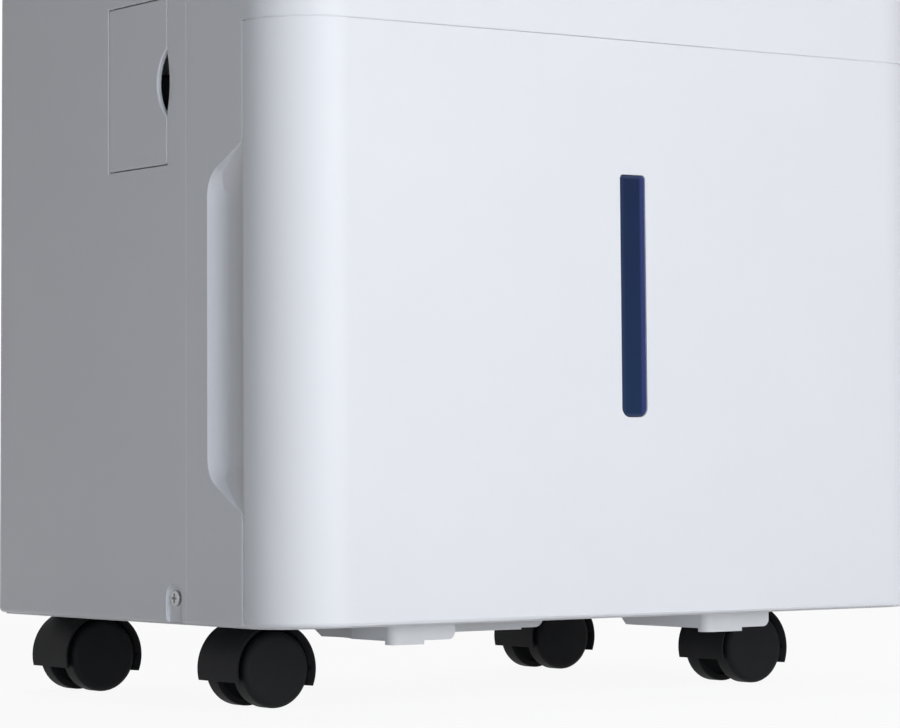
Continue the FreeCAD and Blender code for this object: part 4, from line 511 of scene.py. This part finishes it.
def make_screws():
    """The casing's six screws, where their solids stand."""
    head_height, shank = 1.9 * MM, 1.55 * MM
    solid = solid_copy("casing_screws")
    boxes = islands(solid)
    solid.free()
    bm = bmesh.new()
    for low, high in boxes:
        size = high - low
        centre = (low + high) / 2
        axis = max(range(3), key=lambda i: size[i])
        outwards = Vector((0, 0, 0))
        outwards[axis] = 1 if centre[axis] > 0 else -1
        top = centre + outwards * size[axis] / 2
        mesh = screw_mesh(sorted(size)[1] / 2, head_height, shank, size[axis])
        mesh.transform(Matrix.Translation(top) @ outwards.to_track_quat("Z", "Y").to_matrix().to_4x4())
        bm.from_mesh(mesh)
        bpy.data.meshes.remove(mesh)
    as_piece("casing_screws_skin", bm, "screw_steel", BODY_OF["casing_screws"], "casing_screws")


# The plan of the tank's front: its rounded corners and the slight crown between them.
CORNER_RADIUS = 34 * MM
CROWN_RADIUS = 10241 * MM


def make_tank_seam_lip():
    """A thin lip behind the joint between the upper casing and the tank's front."""
    low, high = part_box("tank_front")
    half = high.x
    inset, height, thickness = 0.55 * MM, 0.9 * MM, 0.8 * MM
    side = half - CORNER_RADIUS
    corner = (-side, low.y + side * side / (2 * CROWN_RADIUS) + CORNER_RADIUS)
    left = [(-half + inset, high.y - 1 * MM)] + arc(corner, CORNER_RADIUS - inset, 180, 269, 14)
    front = [(side * step / 8, low.y + (side * step / 8) ** 2 / (2 * CROWN_RADIUS) + inset)
             for step in range(-7, 8)]
    path = left + front + [(-x, y) for x, y in reversed(left)]
    bm = bmesh.new()
    points = [bm.verts.new((x, y, high.z)) for x, y in path]
    edges = [bm.edges.new(pair) for pair in zip(points, points[1:])]
    risen = bmesh.ops.extrude_edge_only(bm, edges=edges)["geom"]
    bmesh.ops.translate(bm, vec=(0, 0, height), verts=verts_of(risen))
    bmesh.ops.recalc_face_normals(bm, faces=bm.faces)
    bmesh.ops.solidify(bm, geom=bm.faces[:], thickness=thickness)
    as_piece("tank_seam_lip", bm, "shell_white", BODY_OF["front_housing"])


ABOVE_GRIP = 255.6 * MM


def make_tank_seam_beads():
    """A rounded bead in the upright joint beside the tank, above each grip."""
    radius, gap, back = 0.8 * MM, 1.1 * MM, 0.3 * MM
    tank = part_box("tank_front")[1]
    half = tank.x - radius
    edge = tank.y + gap
    low, high = ABOVE_GRIP, tank.z - 0.4 * MM
    bm = bmesh.new()
    for side in (-1, 1):
        outline = [(half, edge + back), (half + radius, edge + back)] + arc((half, edge), radius, 0, -90)
        face = bm.faces.new([bm.verts.new((side * x, y, low)) for x, y in outline])
        risen = bmesh.ops.extrude_face_region(bm, geom=[face])["geom"]
        bmesh.ops.translate(bm, vec=(0, 0, high - low), verts=verts_of(risen))
    bmesh.ops.recalc_face_normals(bm, faces=bm.faces)
    as_piece("tank_seam_beads", bm, "shell_white", BODY_OF["front_housing"])


def make_door_ledge():
    """A ledge in the joint under the drain cover."""
    low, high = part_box("drain_cover")
    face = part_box("rear_housing")[0].x
    shy, deep, inset, height = 0.45 * MM, 1.4 * MM, 1.5 * MM, 1.2 * MM
    bm = bmesh.new()
    slab(bm, (face + shy, face + deep), (low.y + inset, high.y - inset), (low.z - height, low.z))
    as_piece("drain_cover_ledge", bm, "shell_white", BODY_OF["rear_housing"])


for node in sorted(NODES):
    if "_wheel_" in node:
        make_wheel(node)
    elif node.startswith("button_"):
        make_button(node)
        make_indicator(node)
    elif node.endswith("_fins"):
        make_fin_pack(node)
make_screws()
make_tank_seam_lip()
make_tank_seam_beads()
make_door_ledge()


# ---------------------------------------------------------------- studio

FLOOR_GLOW = 0.92


def background_rays(tree):
    """1 for the rays that show the plain white background: seen, mirrored or looked through."""
    light_path = tree.nodes.new("ShaderNodeLightPath")
    shown = light_path.outputs["Is Camera Ray"]
    for kind in ("Is Glossy Ray", "Is Transmission Ray"):
        either = tree.nodes.new("ShaderNodeMath")
        either.operation = "MAXIMUM"
        tree.links.new(shown, either.inputs[0])
        tree.links.new(light_path.outputs[kind], either.inputs[1])
        shown = either.outputs[0]
    return shown


def make_floor():
    bm = bmesh.new()
    bmesh.ops.create_grid(bm, x_segments=2, y_segments=2, size=6)
    mesh = bpy.data.meshes.new("floor")
    bm.to_mesh(mesh)
    bm.free()
    floor = bpy.data.objects.new("floor", mesh)
    bpy.context.collection.objects.link(floor)
    made = Finish("floor_paper", Roughness=0.9, Specular_IOR_Level=0.1)
    made.base(made.blend(made.noise(0.5), (0.80, 0.80, 0.80), (0.82, 0.82, 0.82)))
    tree = made.tree
    glow = tree.nodes.new("ShaderNodeEmission")
    glow.inputs["Color"].default_value = (1, 1, 1, 1)
    seen = Signal(made, background_rays(tree)) * FLOOR_GLOW
    mixed = tree.nodes.new("ShaderNodeMixShader")
    tree.links.new(seen.socket, mixed.inputs[0])
    tree.links.new(made.shader.outputs[0], mixed.inputs[1])
    tree.links.new(glow.outputs[0], mixed.inputs[2])
    tree.links.new(mixed.outputs[0], tree.nodes["Material Output"].inputs["Surface"])
    mesh.materials.append(made.material)


def make_world(strength):
    """White to the camera and in reflections, faint as a light."""
    world = bpy.data.worlds.new("studio")
    bpy.context.scene.world = world
    world.use_nodes = True
    tree = world.node_tree
    lit = tree.nodes["Background"]
    lit.inputs["Color"].default_value = (1, 1, 1, 1)
    lit.inputs["Strength"].default_value = strength
    seen = tree.nodes.new("ShaderNodeBackground")
    seen.inputs["Color"].default_value = (1, 1, 1, 1)
    seen.inputs["Strength"].default_value = 1
    mixed = tree.nodes.new("ShaderNodeMixShader")
    tree.links.new(background_rays(tree), mixed.inputs[0])
    tree.links.new(lit.outputs[0], mixed.inputs[1])
    tree.links.new(seen.outputs[0], mixed.inputs[2])
    tree.links.new(mixed.outputs[0], tree.nodes["World Output"].inputs["Surface"])


def make_lamp(name, place, aim, size, power, tone=(1, 1, 1)):
    data = bpy.data.lights.new(name, "AREA")
    data.shape = "RECTANGLE"
    data.size, data.size_y = size
    data.energy = power
    data.color = tone
    lamp = bpy.data.objects.new(name, data)
    lamp.location = place
    lamp.rotation_euler = (Vector(aim) - Vector(place)).to_track_quat("-Z", "Y").to_euler()
    bpy.context.collection.objects.link(lamp)


def make_camera():
    """A long lens, low on the left, looking slightly up along the casing's corner."""
    yaw, pitch, roll = math.radians(35.18), math.radians(4.54), math.radians(-0.388)
    ahead = Vector((math.sin(yaw) * math.cos(pitch), math.cos(yaw) * math.cos(pitch), math.sin(pitch)))
    right = Vector((math.cos(yaw), -math.sin(yaw), 0))
    up = right.cross(ahead)
    rolled_right = math.cos(roll) * right + math.sin(roll) * up
    rolled_up = -math.sin(roll) * right + math.cos(roll) * up
    data = bpy.data.cameras.new("camera")
    data.lens = 135.6
    data.sensor_width = 36
    data.sensor_fit = "HORIZONTAL"
    data.shift_y = -0.18
    data.clip_end = 20
    camera = bpy.data.objects.new("camera", data)
    turn = Matrix((rolled_right, rolled_up, -ahead)).transposed().to_4x4()
    camera.matrix_world = Matrix.Translation(Vector((-0.9834, -1.3798, 0.1071))) @ turn
    bpy.context.collection.objects.link(camera)
    bpy.context.scene.camera = camera


make_floor()
make_world(0.02)
make_lamp("front_high", (0.1, -2.4, 1.1), (0, 0, 0.25), (0.9, 0.9), 13)
make_lamp("front_low", (0.1, -2.6, 0.3), (0, 0, 0.25), (0.9, 0.4), 13.5)
make_lamp("front_left", (-0.8, -2.5, 0.9), (0, 0, 0.25), (1.2, 1.8), 20.5, (0.91, 1.0, 1.12))
make_lamp("left_near", (-0.9, -1.0, 0.08), (0, 0, 0.2), (0.8, 0.14), 1.5, (0.95, 1.0, 1.05))
make_lamp("overhead", (0, 0.3, 2.4), (0, 0.3, 0), (0.9, 0.9), 10)
make_lamp("back", (1.5, 2.3, 1.3), (0, 0, 0.3), (1.8, 1.6), 27)
make_camera()
bpy.context.scene.view_settings.view_transform = "Standard"
